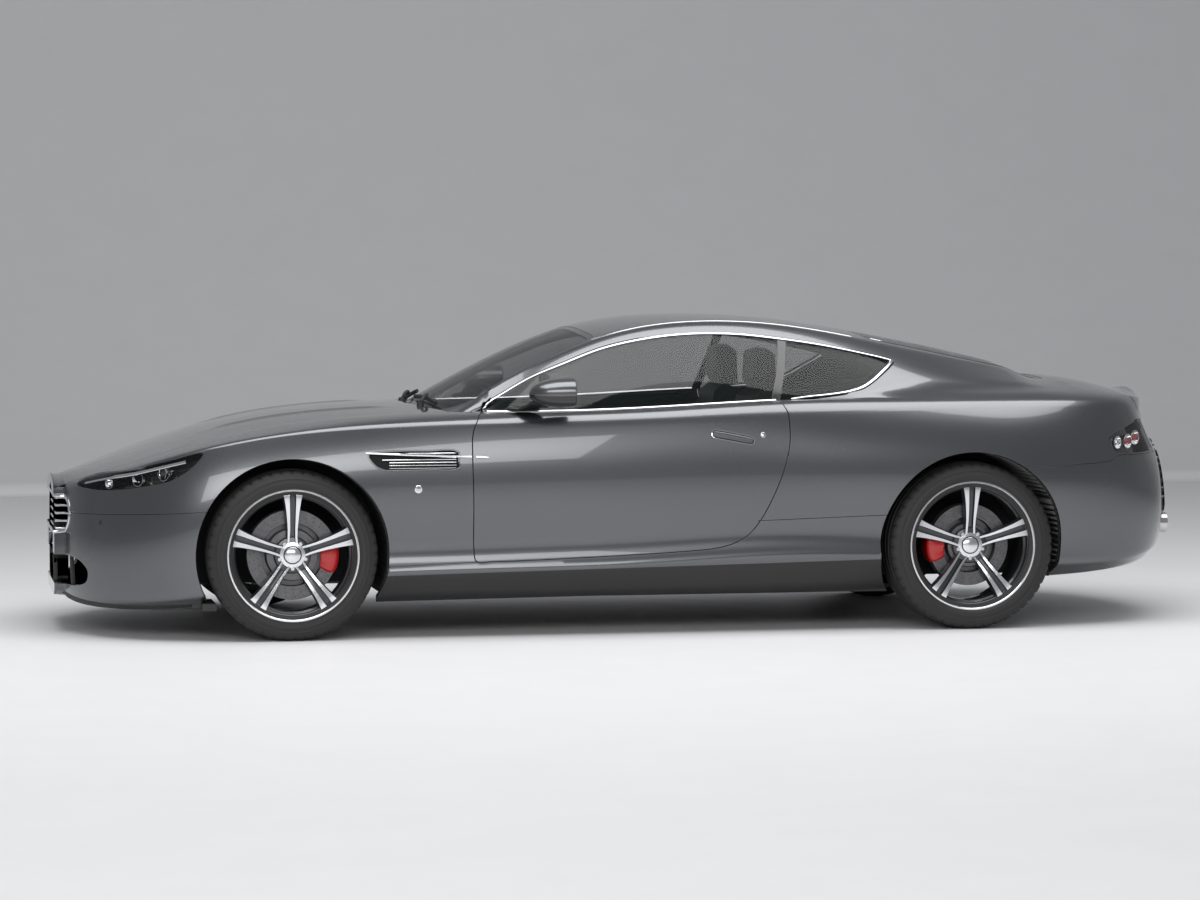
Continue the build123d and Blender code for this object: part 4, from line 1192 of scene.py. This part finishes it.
def tyre_shape(radius, half, lip):
    """Tyre with ribbed walls, four grooves round it and cut shoulder blocks."""
    s = Shape()
    outer = [
        (0.2455, lip - 0.006), (0.2565, lip - 0.002), (0.262, lip + 0.0025), (0.268, half - 0.003),
        (0.2695, half - 0.0014), (0.285, half), (0.2865, half - 0.0014), (0.300, half - 0.0022),
        (0.3015, half - 0.0008), (0.303, half - 0.0024), (radius - 0.022, half - 0.0075),
        (radius - 0.012, half - 0.014), (radius - 0.0045, half - 0.024), (radius - 0.0018, half - 0.036),
    ]
    walls = len(outer)
    for centre in (half * 0.52, half * 0.18):
        outer += [
            (radius - 0.0008, centre + 0.0062), (radius - 0.0075, centre + 0.0042),
            (radius - 0.0075, centre - 0.0042), (radius - 0.0006, centre - 0.0062),
        ]
    outer.append((radius, 0))
    inner = [(r, -y) for r, y in outer[-2::-1]]
    profile = outer + inner + [(0.236, -half + 0.02), (0.236, half - 0.02)]
    steps = 240
    cut_depth, cut_every, cut_slant = 0.0055, 5, 0.012
    count = len(outer) + len(inner)
    cut = {walls - 3, walls - 2, walls - 1}
    cut |= {count - 1 - k for k in cut}
    rings = []
    for n in range(steps):
        turn = 2 * math.pi * n / steps
        ring = []
        for k, (r, y) in enumerate(profile):
            if k in cut and n % cut_every == 0:
                r -= cut_depth
            lag = cut_slant * abs(y / half) if k in cut else 0
            ring.append((r * math.sin(turn + lag), y, r * math.cos(turn + lag)))
        rings.append(np.array(ring))
    return s.loft(rings, 0, False, True)


def rim_shape(half):
    """Barrel, lip, hub and five pairs of slim spokes with turned faces."""
    s = Shape()
    lip = half - RIM_LIP
    barrel = [
        (0.2605, lip - 0.009), (0.2615, lip - 0.003), (0.2605, lip), (0.2535, lip + 0.0005),
        (0.2515, lip - 0.0015), (0.2505, lip - 0.005), (0.2455, lip - 0.010), (0.2440, lip - 0.018),
        (0.2375, lip - 0.0205), (0.2335, lip - 0.024), (0.2315, lip - 0.042), (0.2235, lip - 0.050),
        (0.2215, 0.02), (0.2235, -0.02), (0.2345, -half + 0.03), (0.2365, -half + 0.006),
        (0.250, -half + 0.003), (0.2605, -half + 0.002), (0.2605, -half + 0.010), (0.2435, -half + 0.014),
        (0.2425, -0.02), (0.2405, 0.03), (0.2455, lip - 0.014),
    ]
    bright = [0, 1, 1, 1, 1, 1, 0, 0, 0] + [0] * (len(barrel) - 9)
    s.lathe(barrel, 160, 0, bright)
    face = half - 0.046
    hub = [
        (0.031, face - 0.004), (0.034, face - 0.001), (0.036, face + 0.001), (0.050, face - 0.001),
        (0.0685, face - 0.006), (0.0735, face - 0.014), (0.0755, face - 0.045), (0.031, face - 0.045),
    ]
    s.lathe(hub, 120, 0, [0, 0, 1, 0, 0, 0, 0, 0])
    dome = [
        (0.0305, face - 0.02), (0.0325, face - 0.002), (0.0315, face + 0.0025), (0.027, face + 0.0055),
        (0.018, face + 0.0085), (0.009, face + 0.0098), (0.0005, face + 0.0102), (0.0005, face - 0.02),
    ]
    s.lathe(dome, 72, 1)
    reach = np.array([0.046, 0.07, 0.10, 0.13, 0.16, 0.19, 0.213, 0.230, 0.2450])
    middle = np.array([0.0165, 0.0150, 0.0148, 0.0160, 0.0178, 0.0200, 0.0222, 0.0240, 0.0262])
    width = np.array([0.0054, 0.0057, 0.0062, 0.0071, 0.0082, 0.0096, 0.0110, 0.0128, 0.0160])
    lift = np.array([0.001, 0.004, 0.011, 0.018, 0.0235, 0.0275, 0.0295, 0.0300, 0.0285])
    deep = np.array([0.034, 0.034, 0.034, 0.033, 0.032, 0.031, 0.030, 0.030, 0.032])
    fine = np.linspace(reach[0], reach[-1], 26)
    middle, width, lift, deep = (np.interp(fine, reach, v) for v in (middle, width, lift, deep))
    for number in range(SPOKE_PAIRS):
        turn = 2 * math.pi * number / SPOKE_PAIRS
        for hand in (-1, 1):
            blade = Shape()
            rings = []
            for r, m, w, up, d in zip(fine, middle, width, lift, deep):
                y = face + up
                inner, outer = hand * (m - w), hand * (m + w)
                soft = 0.0016 * hand
                rings.append(np.array([
                    (inner - 0.0022 * hand, y - d, r), (inner, y - 0.003, r), (inner + soft, y - 0.0002, r),
                    (outer - soft, y - 0.0002, r), (outer, y - 0.003, r), (outer + 0.0045 * hand, y - d, r),
                ]))
            blade.loft(rings, 0, True, False, [0, 0, 1, 0, 0, 0])
            s.join(blade.moved(spin(turn)))
        web = Shape()
        rings = []
        for r, m, w, up, d in zip(fine, middle, width, lift, deep):
            y = face + up - 0.015
            rings.append(np.array([
                (-m, y - 0.012, r), (-m, y, r), (0, y - 0.003, r), (m, y, r), (m, y - 0.012, r),
            ]))
        s.join(web.loft(rings, 0).moved(spin(turn)))
        nut = Shape()
        corners = [(math.sin(a), math.cos(a)) for a in np.linspace(0, 2 * math.pi, 6, endpoint=False)]
        rings = []
        for size, y in ((0.0095, face - 0.018), (0.0095, face - 0.001), (0.0095 * 0.82, face + 0.002)):
            rings.append(np.array([(a * size, y, 0.0535 + b * size) for a, b in corners]))
        s.join(nut.loft(rings, 1).moved(spin(turn + math.pi / SPOKE_PAIRS)))
    stem = Shape().loft([circle(0.0038, 10, y, 0.2235) for y in (lip - 0.075, lip - 0.045)])
    return s.join(stem.moved(spin(math.pi)))


def disc_shape(radius, low, high):
    """Vented disc with its bell; low and high are its two faces along y."""
    s = Shape()
    mid = (low + high) / 2
    plate = [
        (radius - 0.052, low), (radius - 0.001, low), (radius, low + 0.001), (radius, mid - 0.0035),
        (radius - 0.008, mid - 0.0035), (radius - 0.008, mid + 0.0035), (radius, mid + 0.0035),
        (radius, high - 0.001), (radius - 0.001, high), (radius - 0.052, high),
    ]
    s.lathe(plate, 120)
    bell = [
        (radius - 0.054, mid), (radius - 0.072, mid), (radius - 0.078, high + 0.004), (0.062, high + 0.006),
        (0.062, high + 0.0005), (radius - 0.086, high), (radius - 0.080, mid - 0.006),
        (radius - 0.054, mid - 0.006),
    ]
    s.lathe(bell, 90)
    # The drilled holes are not cut: each is a flat black spot just above the outer face, painted shade where
    # the inside of a hole would be.
    for number in range(HOLE_ROWS):
        for lane, inset in enumerate((0.042, 0.026, 0.011)):
            turn = 2 * math.pi * number / HOLE_ROWS + lane * 0.035
            hole_shade_spot = circle(0.0024, 8, high + 0.0002, radius - inset)
            s.put(hole_shade_spot @ spin(turn).T, [tuple(range(8))], 1)
    return s


def caliper_shape(inner, outer, low, high, centre, spread):
    """Curved block over the disc's edge; centre and spread are angles from straight up."""
    s = Shape()
    rings = []
    for turn in np.linspace(-spread, spread, 29):
        share = abs(turn) / spread
        grow = 1 - 0.22 * share ** 6
        lobe = 0.0035 * (math.cos(turn / spread * math.pi * 2) * 0.5 + 0.5)
        r0, r1 = inner + 0.012 * share ** 4 - lobe, outer - 0.010 * share ** 6
        y0 = (low + high) / 2 - (high - low) / 2 * grow
        y1 = (low + high) / 2 + (high - low) / 2 * grow + lobe - 0.0035
        soft = 0.006
        outline = [
            (r0, y0 + soft), (r0 + soft, y0), (r1 - soft, y0), (r1, y0 + soft), (r1, y1 - 2 * soft),
            (r1 - soft * 1.6, y1 - soft * 0.35), ((r0 + r1) / 2 + 0.008, y1), (r0 + soft * 1.5, y1 - 0.001),
            (r0, y1 - soft * 1.2),
        ]
        rings.append(np.array([(0, y, r) for r, y in outline]) @ spin(centre + turn).T)
    return s.loft(rings)


def axle_set(end, axle, radius, rim_half, tyre_half):
    """Tyres, rims and discs of both wheels on an axle."""
    low, high = (np.array(c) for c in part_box(f"disc_{end}_left"))
    shapes = [
        tyre_shape(radius, tyre_half, rim_half - RIM_LIP),
        rim_shape(rim_half),
        disc_shape((high[2] - low[2]) / 2, low[1] - axle[1], high[1] - axle[1]),
    ]
    for side, hand in SIDES:
        corner, wheel = f"{end}_{side}", f"wheel_{end}_{side}"
        tyre, rim, disc = (shape.moved(flip=hand < 0).moved(by=axle * [1, hand, 1]) for shape in shapes)
        tyre.make(f"tyre_{corner}_tread", RUBBER, wheel, "tyre", [f"tyre_{corner}"], 40)
        rim.make(f"rim_{corner}_spokes", [WHEEL_DARK, TURNED], wheel, "wheel_alloy", [f"rim_{corner}"], 28)
        # The second finish, black plastic, colours the painted shade spots of the drilled holes.
        disc.make(f"disc_{corner}_rotor", [IRON, PLASTIC], wheel, "disc_iron", [f"disc_{corner}"])


axle_set("front", FRONT_AXLE, 0.336, 0.1175, 0.1178)
axle_set("rear", REAR_AXLE, 0.337, 0.1325, 0.1378)


def calipers():
    for side, hand in SIDES:
        for end, axle, centre in (("front", FRONT_AXLE, -math.pi / 2), ("rear", REAR_AXLE, math.pi / 2)):
            node = f"caliper_front_{side}" if end == "front" else "rear_calipers"
            disc_low, disc_high = (np.array(c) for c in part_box(f"disc_{end}_left"))
            outer_y = disc_high[1] - axle[1] + 0.011
            inner_y = disc_low[1] - axle[1] - 0.03
            radius = (disc_high[2] - disc_low[2]) / 2
            shape = caliper_shape(radius - 0.062, radius + 0.008, inner_y, outer_y, centre, math.radians(27))
            rider = f"knuckle_{side}" if end == "front" else "body"
            nodes = [node] if end == "front" or side == "left" else []
            piece = shape.moved(flip=hand < 0).moved(by=axle * [1, hand, 1])
            piece.make(f"caliper_{end}_{side}_body", RED, rider, "caliper_paint", nodes, 40)


calipers()


# Trim
def on_body(find, table, sink=0.0, step=0.008):
    """Points and normals of a soft line laid on the lower body."""
    flat = find(smooth(points_of(table), step))
    return body.at(flat) - body.normal_at(flat) * sink, body.normal_at(flat)


def both_ways(shape):
    """The shape with its mirror image across the middle of the car."""
    return Shape().join(shape).join(shape.moved(flip=True))


def aimed(shape, centre, axis):
    """The shape with its y axis turned to an axis and moved to a centre."""
    axis = unit(np.array(axis, float))
    side = unit(np.cross(axis, [0, 0.1, 1]))
    return shape.moved(np.stack([side, axis, np.cross(side, axis)], axis=1), centre)


def sunk(find, place, depth):
    flat = find(np.array([place]) * MM)
    return body.at(flat)[0] - body.normal_at(flat)[0] * depth


def flush_disc(find, place, radius, height, mark=0):
    """Low round button on the body skin."""
    flat = find(np.array([place]) * MM)
    sunk_y, pin_r = -0.004, 0.0005
    profile = [
        (radius, sunk_y), (radius, height * 0.6), (radius * 0.9, height), (pin_r, height * 1.15),
        (pin_r, sunk_y),
    ]
    return aimed(Shape().lathe(profile, 32, mark), body.at(flat)[0], body.normal_at(flat)[0])


def window_trim():
    line = daylight[daylight[:, 1] > 0.003]
    points, normals = cab.at(line), cab.normal_at(line)
    width = np.interp(points[:, 0], [-1.04, -0.9, -0.6], [0.013, 0.010, 0.008])
    Shape().bead(points, normals, width, 0.0035).make_sides("window_trim", CHROME)
    x = body.at(foot_line)[:, 0]
    waist = foot_line[(x < 0.655) & (x > -0.515)]
    points, normals = body.at(waist), body.normal_at(waist) * 0.5 + np.array([0, 0.6, 0.45])
    Shape().bead(points, normals, 0.012, 0.006, sink=0.006).make_sides("waist_trim", CHROME, "door_{}")


def roof_trim():
    """Bright line between the roof and the side frame, and another beside the rear window."""
    edge = cab.beside(rear_line, 0.034)
    edge = edge[(cab.at(edge)[:, 0] < -0.99) & (cab.at(edge)[:, 0] > -1.72)]
    for name, line in (("roof_trim", rail[4:-4]), ("rear_window_trim", edge)):
        Shape().bead(cab.at(line), cab.normal_at(line), 0.0055, 0.0022).make_sides(name, CHROME)


def side_details():
    points, normals = on_body(side_find, [(-231, 800), (-318, 784), (-405, 767)], 0, 0.004)
    share = np.linspace(-1, 1, len(points))
    width = 0.024 * np.maximum(1 - share ** 8, 0) ** 0.5 + 0.004
    Shape().bead(points, normals, width + 0.010, 0.0012).make_sides("handle_rim", CHROME, "door_{}")
    # Black gloss strip between the chrome rim and the grip: painted shade of the gap round the handle.
    gap = Shape().bead(points[1:-1], normals[1:-1], width[1:-1] + 0.004, 0.0022)
    gap.make_sides("handle_gap_painted_shade", GLOSS, "door_{}")
    grip = Shape().bead(points[2:-2], normals[2:-2], width[2:-2] - 0.006, 0.007)
    grip.make_sides("door_handle", PAINT, "door_{}", "paint")
    lock = flush_disc(side_find, (-440, 791), 0.0105, 0.002)
    lock.join(flush_disc(side_find, (-440, 791), 0.006, 0.004))
    lock.make_sides("door_lock", CHROME, "door_{}")
    lamp = flush_disc(side_find, (947, 592), 0.0155, 0.003)
    lamp.join(flush_disc(side_find, (947, 592), 0.011, 0.0048, 1))
    lamp.make_sides("side_lamp", [CHROME, LENS])
    flush_disc(side_find, (2170, 458), 0.009, 0.0015).make_sides("park_sensor", PLASTIC)
    points, normals = on_body(side_find, STRAKE, 0.0, 0.01)
    width = np.interp(points[:, 0], [0.669, 0.70, 1.0, 1.1535], [0.004, 0.0095, 0.0125, 0.006])
    front, rear = points[:, 0] > 0.733, points[:, 0] < 0.722
    bar = Shape().bead(points[front], normals[front], width[front], 0.008, sink=0.004)
    bar.make_sides("vent_bar", CHROME)
    door_bar = Shape().bead(points[rear], normals[rear], width[rear], 0.008)
    door_bar.make_sides("vent_bar_door", CHROME, "door_{}")
    points, normals = body.at(vent_loop), body.normal_at(vent_loop)
    Shape().bead(points, normals, 0.006, 0.0022, closed=True).make_sides("vent_rim", PAINT, slot="paint")
    vanes = Shape()
    for z in (733, 708, 697, 686, 675):
        line = [(1088 if z > 700 else 1060, z), (930, z), (795, z)]
        points, normals = on_body(side_find, line, 0.006, 0.02)
        vanes.bead(points, normals, 0.0035, 0.003, sink=0.002)
    vanes.make_sides("vent_vanes", CHROME)
    for number, z in enumerate((0.738, 0.69)):
        tray = body_cut.skin(side_find([(0.95, z)]), depth=0.014, hollow=True)
        add_sides(f"vent_tray_{number}", tray, PLASTIC)


def front_details():
    lamp = side_find([(2.0, 0.65)])
    cover = body_cut.skin(lamp, 0.0015, 0.004, False)
    add_sides("headlamp_cover", cover, LENS, "body", shared="headlamps")
    add_sides("headlamp_tray", body_cut.skin(lamp, 0.006, 0.055, hollow=True), GLOSS)
    bowl = [
        (0.004, -0.022), (0.014, -0.019), (0.024, -0.008), (0.029, 0.006), (0.031, 0.006), (0.026, -0.012),
        (0.004, -0.026),
    ]
    barrel = [
        (0.0005, 0.012), (0.014, 0.010), (0.022, 0.002), (0.024, -0.01), (0.024, -0.045), (0.0005, -0.045),
    ]
    ring = [(0.0245, 0.004), (0.0285, 0.004), (0.0285, -0.004), (0.0245, -0.004)]
    lamps = Shape()
    for place, depth, size in (
        ((1945, 668), 0.036, 1.0), ((2045, 642), 0.034, 0.95), ((2150, 618), 0.026, 0.7),
    ):
        turned = Shape().lathe([(r * size, y * size) for r, y in bowl], 48)
        lamps.join(aimed(turned, sunk(side_find, place, depth), (0.75, 0.65, 0.02)))
    centre = sunk(side_find, (1945, 668), 0.03)
    for step in (0, 0.022):
        lamps.join(aimed(Shape().lathe(ring, 48), centre - np.array([1, 0.3, 0]) * step, (0.9, 0.42, 0)))
    lamps.join(aimed(Shape().lathe(barrel, 48, 1), centre, (0.9, 0.42, 0)))
    lamps.make_sides("headlamp_units", [CHROME, GLOSS])
    strip = [(1850, 706), (1960, 678), (2060, 652), (2150, 634), (2225, 612)]
    points, normals = on_body(side_find, strip, 0.009)
    Shape().bead(points, normals, 0.013, 0.003).make_sides("headlamp_strip", CHROME)
    points, normals = body.at(grille_line[1:-1]), body.normal_at(grille_line[1:-1])
    border = both_ways(Shape().bead(points, normals, 0.013, 0.005))
    border.make("grille_frame", CHROME, "body", "bare_alloy", ["grille"])
    heights, reaches = [0.402, 0.438, 0.478, 0.52, 0.546, 0.556], [0.345, 0.382, 0.389, 0.37, 0.328, 0.25]
    bar = [
        (0.006, -0.003), (0.008, -0.0045), (0.03, -0.0025), (0.03, 0.0025), (0.008, 0.0045), (0.006, 0.003),
    ]
    bars = Shape()
    for number in range(5):
        z = 0.4185 + 0.0305 * number
        reach = float(np.interp(z, heights, reaches)) - 0.006
        y = np.concatenate([-np.linspace(reach, 0.02, 18), [0], np.linspace(0.02, reach, 18)])
        flat = nose_find(np.stack([np.abs(y), np.full_like(y, z)], axis=1))
        points, normals = body.at(flat), body.normal_at(flat)
        hand = np.where(y < 0, -1, 1)
        points[:, 1] *= hand
        normals[:, 1] *= hand
        rings = []
        for p, n in zip(points, normals):
            back = unit(np.array([-n[0], -n[1], 0]))
            rings.append(np.array([p + back * a + np.array([0, 0, b]) for a, b in bar]))
        bars.loft(rings)
    bars.make("grille_bars", CHROME, "body")
    tray = body_cut.skin(nose_find([(0.1, 0.48)]), 0.003, 0.05, hollow=True)
    add_skin("grille_tray", tray.both_sides(), PLASTIC)
    air = nose_find([(0.2, 0.26)])
    add_skin("intake_tray", body_cut.skin(air, 0.003, 0.06, hollow=True).both_sides(), PLASTIC)
    add_skin("intake_mesh", body_cut.skin(air, 0.014, 0.002, False).both_sides(), MESH)
    posts = Shape()
    for y in (0.19, 0.40):
        line = nose_find(np.stack([np.full(8, y), np.linspace(0.20, 0.312, 8)], axis=1))
        normals = body.normal_at(line)
        posts.bead(body.at(line) - normals * 0.008, normals, 0.012, 0.006, sink=0.01)
    both_ways(posts).make("intake_posts", PLASTIC, "body")
    stations = (body.grid[:, 7, 0] < 2.325) & (body.grid[:, 7, 0] > 1.82)
    path, normals = body.grid[stations, 7], body.normal[stations, 7]
    both_ways(Shape().bead(path, normals, 0.03, 0.002, sink=0.008)).make("front_lip", PLASTIC, "body")
    flap = Shape().box((1.735, 0.62, 0.121), (1.79, 0.855, 0.15))
    both_ways(flap).make("wheel_deflectors", PLASTIC, "body")


def rear_details():
    lamp = side_find([(-1.97, 0.75)])
    cover = body_cut.skin(lamp, 0.0015, 0.004, False)
    add_sides("tail_lamp_cover", cover, TAIL_LENS, "body", shared="tail_lamps")
    add_sides("tail_lamp_tray", body_cut.skin(lamp, 0.006, 0.05, hollow=True), GLOSS)
    bowl = [
        (0.003, -0.016), (0.014, -0.012), (0.022, 0.0), (0.0245, 0.008), (0.0265, 0.008), (0.024, -0.004),
        (0.003, -0.02),
    ]
    bulb = [(0.0005, 0.010), (0.008, 0.008), (0.012, 0.0), (0.0005, -0.002)]
    outwards = (-0.62, 0.78, 0)
    lamps = Shape()
    for place, size, mark in (((-1955, 748), 1.0, 0), ((-2015, 752), 1.15, 1), ((-2070, 765), 1.15, 1)):
        centre = sunk(side_find, place, 0.028)
        for profile, finish in ((bowl, 0), (bulb, mark)):
            turned = Shape().lathe([(r * size, y * size) for r, y in profile], 40, finish)
            lamps.join(aimed(turned, centre, outwards))
    lamps.make_sides("tail_lamp_units", [CHROME, RED_LENS])


def mirrors():
    low, high = (np.array(c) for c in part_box("mirror_left"))
    rings = []
    turn = np.linspace(0, 2 * math.pi, 40, endpoint=False)
    x0, x1 = max(low[0], 0.335), min(high[0], 0.512)
    centre = np.array([0, high[1] - 0.098, 0.969])
    for t in np.concatenate([[0.0, 0.02], np.linspace(0.06, 0.985, 20)]):
        x = x0 + (x1 - x0) * t
        size = (1 - t ** 2.4) ** 0.5 * (0.97 if t == 0 else 1)
        wide, tall = 0.096 * size, 0.0595 * size * (1 + 0.06 * t)
        y = centre[1] + np.sign(np.cos(turn)) * np.abs(np.cos(turn)) ** 0.85 * wide
        z = centre[2] - 0.004 * t + np.sign(np.sin(turn)) * np.abs(np.sin(turn)) ** 0.9 * tall
        rings.append(np.stack([np.full_like(y, x), y, z], axis=1))
    kinds = [1 if math.sin(a + math.pi / 40) < -0.18 else 0 for a in turn]
    shell = Shape().loft(rings, 0, True, False, kinds)
    shell.make_sides("mirror_shell", [PAINT, GLOSS], "door_{}", "paint", "mirror_{}")
    face_y, face_z = centre[1] + np.cos(turn) * 0.084, centre[2] + np.sin(turn) * 0.05
    rings = [np.stack([np.full_like(turn, x), face_y, face_z], axis=1) for x in (x0, x0 - 0.001)]
    Shape().loft(rings).make_sides("mirror_face", CHROME, "door_{}")
    arm = [
        (0.045, 0.004), (0.03, 0.012), (-0.03, 0.012), (-0.045, 0.004), (-0.045, -0.006), (0.045, -0.006),
    ]
    rings = []
    for share in np.linspace(0, 1, 12):
        bend = math.sin(share * math.pi) * 0.012
        x, z = 0.455 + 0.075 * share, 0.926 - 0.028 * share - bend
        y = max(centre[1] - 0.03 - 0.135 * share, 0.765)
        rings.append(np.array([(x + a, y, z + b) for a, b in arm]))
    Shape().loft(rings).make_sides("mirror_arm", GLOSS, "door_{}")


def wipers():
    arms = Shape()
    cap = Shape().lathe([(0.0005, 0.012), (0.013, 0.010), (0.016, -0.012), (0.0005, -0.012)], 24)
    for pivot_y, reach in ((0.42, 0.3844), (-0.16, 0.3472)):
        pivot = np.array([0.872, pivot_y, 0.905])
        y = np.linspace(pivot_y, pivot_y - reach, 14)
        flat = cab_top_find(np.stack([np.linspace(0.80, 0.838, 14), np.abs(y)], axis=1))
        blade = cab.at(flat) + cab.normal_at(flat) * 0.012
        blade[:, 1] = y
        arms.tube(blade, 0.0055, 8, flat=1.6)
        elbow = np.array([pivot, pivot + [-0.01, 0, 0.022], blade[6] + [0, 0, 0.014], blade[7]])
        arms.tube(smooth(elbow, 0.01), 0.007, 8)
        arms.join(cap.moved([(1, 0, 0), (0, 0, 1), (0, 1, 0)], pivot))
    arms.make("wipers", PLASTIC, "body")


def arch_liners():
    for end, axle in (("front", FRONT_AXLE), ("rear", REAR_AXLE)):
        rings = []
        for turn in np.radians(np.linspace(-24, 204, 70)):
            out = np.array([math.cos(turn), 0, math.sin(turn)])
            x, _, z = axle + out * LINER_R
            edge = body.at(side_find([(x, z)]))[0, 1] - 0.018
            inner, outer = np.array([x, LINER_INNER_Y, z]), np.array([x, edge, z])
            thick = out * 0.003
            rings.append(np.array([inner + thick, outer + thick, outer, inner]))
        Shape().loft(rings).make_sides(f"arch_liner_{end}", PLASTIC)


window_trim()
roof_trim()
side_details()
front_details()
rear_details()
mirrors()
wipers()
arch_liners()


# Cabin
def hide():
    f = Finish("dark hide", Coat_Weight=0.1)
    grain, wear = f.cells(420), f.noise(5, 3)
    f.colour(wear, (0.028, 0.026, 0.025), (0.05, 0.046, 0.043)).rough(wear, 0.42, 0.56)
    f.bump(grain, 0.0006, 0.35)
    return f.material


def carpet():
    f = Finish("dark carpet", Sheen_Weight=0.3)
    pile, patch = f.noise(700, 3), f.noise(4, 3)
    f.colour(patch, (0.014, 0.014, 0.015), (0.026, 0.026, 0.028)).rough(pile, 0.85, 0.97)
    f.bump(pile, 0.002, 0.6)
    return f.material


def cast_alloy():
    f = Finish("cast alloy", Metallic=0.85)
    grain, stain = f.noise(240, 3), f.noise(5, 4)
    f.colour(stain, (0.16, 0.16, 0.165), (0.3, 0.3, 0.31)).rough(stain, 0.42, 0.6).bump(grain, 0.0006, 0.4)
    return f.material


def sealed_floor():
    f = Finish("sealed floor")
    grain, dust = f.noise(160, 4), f.noise(3, 4)
    f.colour(dust, (0.014, 0.014, 0.014), (0.03, 0.03, 0.029)).rough(dust, 0.6, 0.8).bump(grain, 0.0012, 0.5)
    return f.material


def exhaust_steel():
    f = Finish("exhaust steel", Metallic=1.0)
    heat = f.noise(6, 3)
    f.colour(heat, (0.5, 0.48, 0.46), (0.74, 0.74, 0.76)).rough(f.noise(70, 2), 0.12, 0.24)
    return f.material


HIDE, CARPET, CAST, SEALED, STEEL = hide(), carpet(), cast_alloy(), sealed_floor(), exhaust_steel()


def steering_wheel():
    centre = np.array([0.29, 0.37, 0.85])
    lean = math.radians(-68)
    axis = np.array([math.sin(lean), 0, math.cos(lean)])
    low, high = (np.array(c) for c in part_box("steering_wheel"))
    radius = (high[1] - low[1]) / 2 - 0.0165
    s = Shape()
    turn = np.linspace(0, 2 * math.pi, 72, endpoint=False)
    rings = []
    for a in turn:
        grip = 0.0135 + 0.0018 * max(0, math.cos(2 * a)) ** 4
        ring = []
        for b in np.linspace(0, 2 * math.pi, 12, endpoint=False):
            r = radius + grip * math.cos(b)
            ring.append((r * math.cos(a), grip * 1.1 * math.sin(b), r * math.sin(a)))
        rings.append(np.array(ring))
    s.loft(rings, 0, False, True)
    boss = [(0.0005, 0.016), (0.035, 0.014), (0.052, 0.004), (0.055, -0.012), (0.04, -0.03), (0.0005, -0.03)]
    s.lathe(boss, 40)
    for a in (0, math.pi, -math.pi / 2):
        rings = []
        for r, w in ((0.04, 0.024), (0.09, 0.017), (radius - 0.004, 0.014)):
            spoke = ((-w, 0.0), (-w * 0.7, 0.006), (w * 0.7, 0.006), (w, 0.0), (0, -0.008))
            rings.append(np.array([(r, y, z) for z, y in spoke]))
        s.join(Shape().loft(rings, 1).moved(spin(-a)))
    node = "steering_wheel"
    aimed(s, centre, axis).make("steering_rim", [HIDE, CHROME], node, "trim_leather", [node])


def finish_kept_nodes():
    """Finishes of the CAD nodes that stay as they are."""
    finishes = {"boot_floor": CARPET, "exhaust": STEEL}
    finishes.update(dict.fromkeys(("floor_pan", "front_structure"), SEALED))
    finishes.update(dict.fromkeys(("front_seats", "rear_seat", "dashboard"), HIDE))
    cast = ("front_subframe", "rear_subframe", "knuckle_left", "knuckle_right", "engine_block")
    finishes.update(dict.fromkeys(cast, CAST))
    for name, finish in finishes.items():
        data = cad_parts[name].data
        data.materials.clear()
        data.materials.append(finish)
        data.set_sharp_from_angle(angle=math.radians(30))


finish_kept_nodes()
steering_wheel()


# Camera, light and floor
EYE = (2.98813, 16.18217, 1.49039)
YAW, PITCH, ROLL = 0.179161, 0.0484063, -0.0016143
FOCAL, FRAME_WIDTH = 3931.67, 1200


def make_camera():
    forward = Vector((-math.sin(YAW) * math.cos(PITCH), -math.cos(YAW) * math.cos(PITCH), -math.sin(PITCH)))
    right = Vector((-math.cos(YAW), math.sin(YAW), 0))
    up = right.cross(forward)
    turned_right = right * math.cos(ROLL) + up * math.sin(ROLL)
    turned_up = -right * math.sin(ROLL) + up * math.cos(ROLL)
    data = bpy.data.cameras.new("camera")
    data.sensor_width = 36
    data.lens = 36 * FOCAL / FRAME_WIDTH
    data.clip_end = 200
    camera = bpy.data.objects.new("camera", data)
    bpy.context.scene.collection.objects.link(camera)
    place = Matrix((turned_right, turned_up, -forward)).transposed().to_4x4()
    place.translation = EYE
    camera.matrix_world = place
    bpy.context.scene.camera = camera


def area_light(name, place, aim, size, power):
    data = bpy.data.lights.new(name, "AREA")
    data.shape = "RECTANGLE"
    data.size, data.size_y = size
    data.energy = power
    light = bpy.data.objects.new(name, data)
    light.location = place
    light.rotation_euler = (Vector(aim) - Vector(place)).to_track_quat("-Z", "Y").to_euler()
    bpy.context.scene.collection.objects.link(light)


def make_floor():
    """Flat floor that bends up into a wall behind the car."""
    f = Finish("studio floor")
    f.colour(f.noise(3, 4), (0.80, 0.80, 0.81), (0.84, 0.84, 0.85)).rough(f.noise(8, 3), 0.45, 0.55)
    size, steps, verts, faces = 40, 24, [], []
    for k in range(steps + 1):
        turn = math.pi / 2 * max(0, min(1, (k - 8) / 12))
        reach = -12 + min(k, 8) * 0.4 - 6 * math.sin(turn)
        rise = 6 * (1 - math.cos(turn)) + max(0, k - 20) * 4
        verts += [(-size, reach, rise), (size, reach, rise)]
    rows = [(-size, 30, 0), (size, 30, 0)] + verts
    for k in range(len(rows) // 2 - 1):
        faces.append((2 * k, 2 * k + 1, 2 * k + 3, 2 * k + 2))
    floor = add_mesh("floor", rows, faces, f.material)


make_camera()
world = bpy.data.worlds.new("studio")
bpy.context.scene.world = world
world.use_nodes = True
world.node_tree.nodes["Background"].inputs[0].default_value = (0.62, 0.63, 0.65, 1)
world.node_tree.nodes["Background"].inputs[1].default_value = 0.42
area_light("overhead", (0, 1.5, 6.5), (0, 0, 0.5), (9, 5), 520)
area_light("side", (3, 11, 4.5), (0, 0, 0.6), (10, 3), 420)
make_floor()
bpy.context.scene.view_settings.view_transform = "Standard"
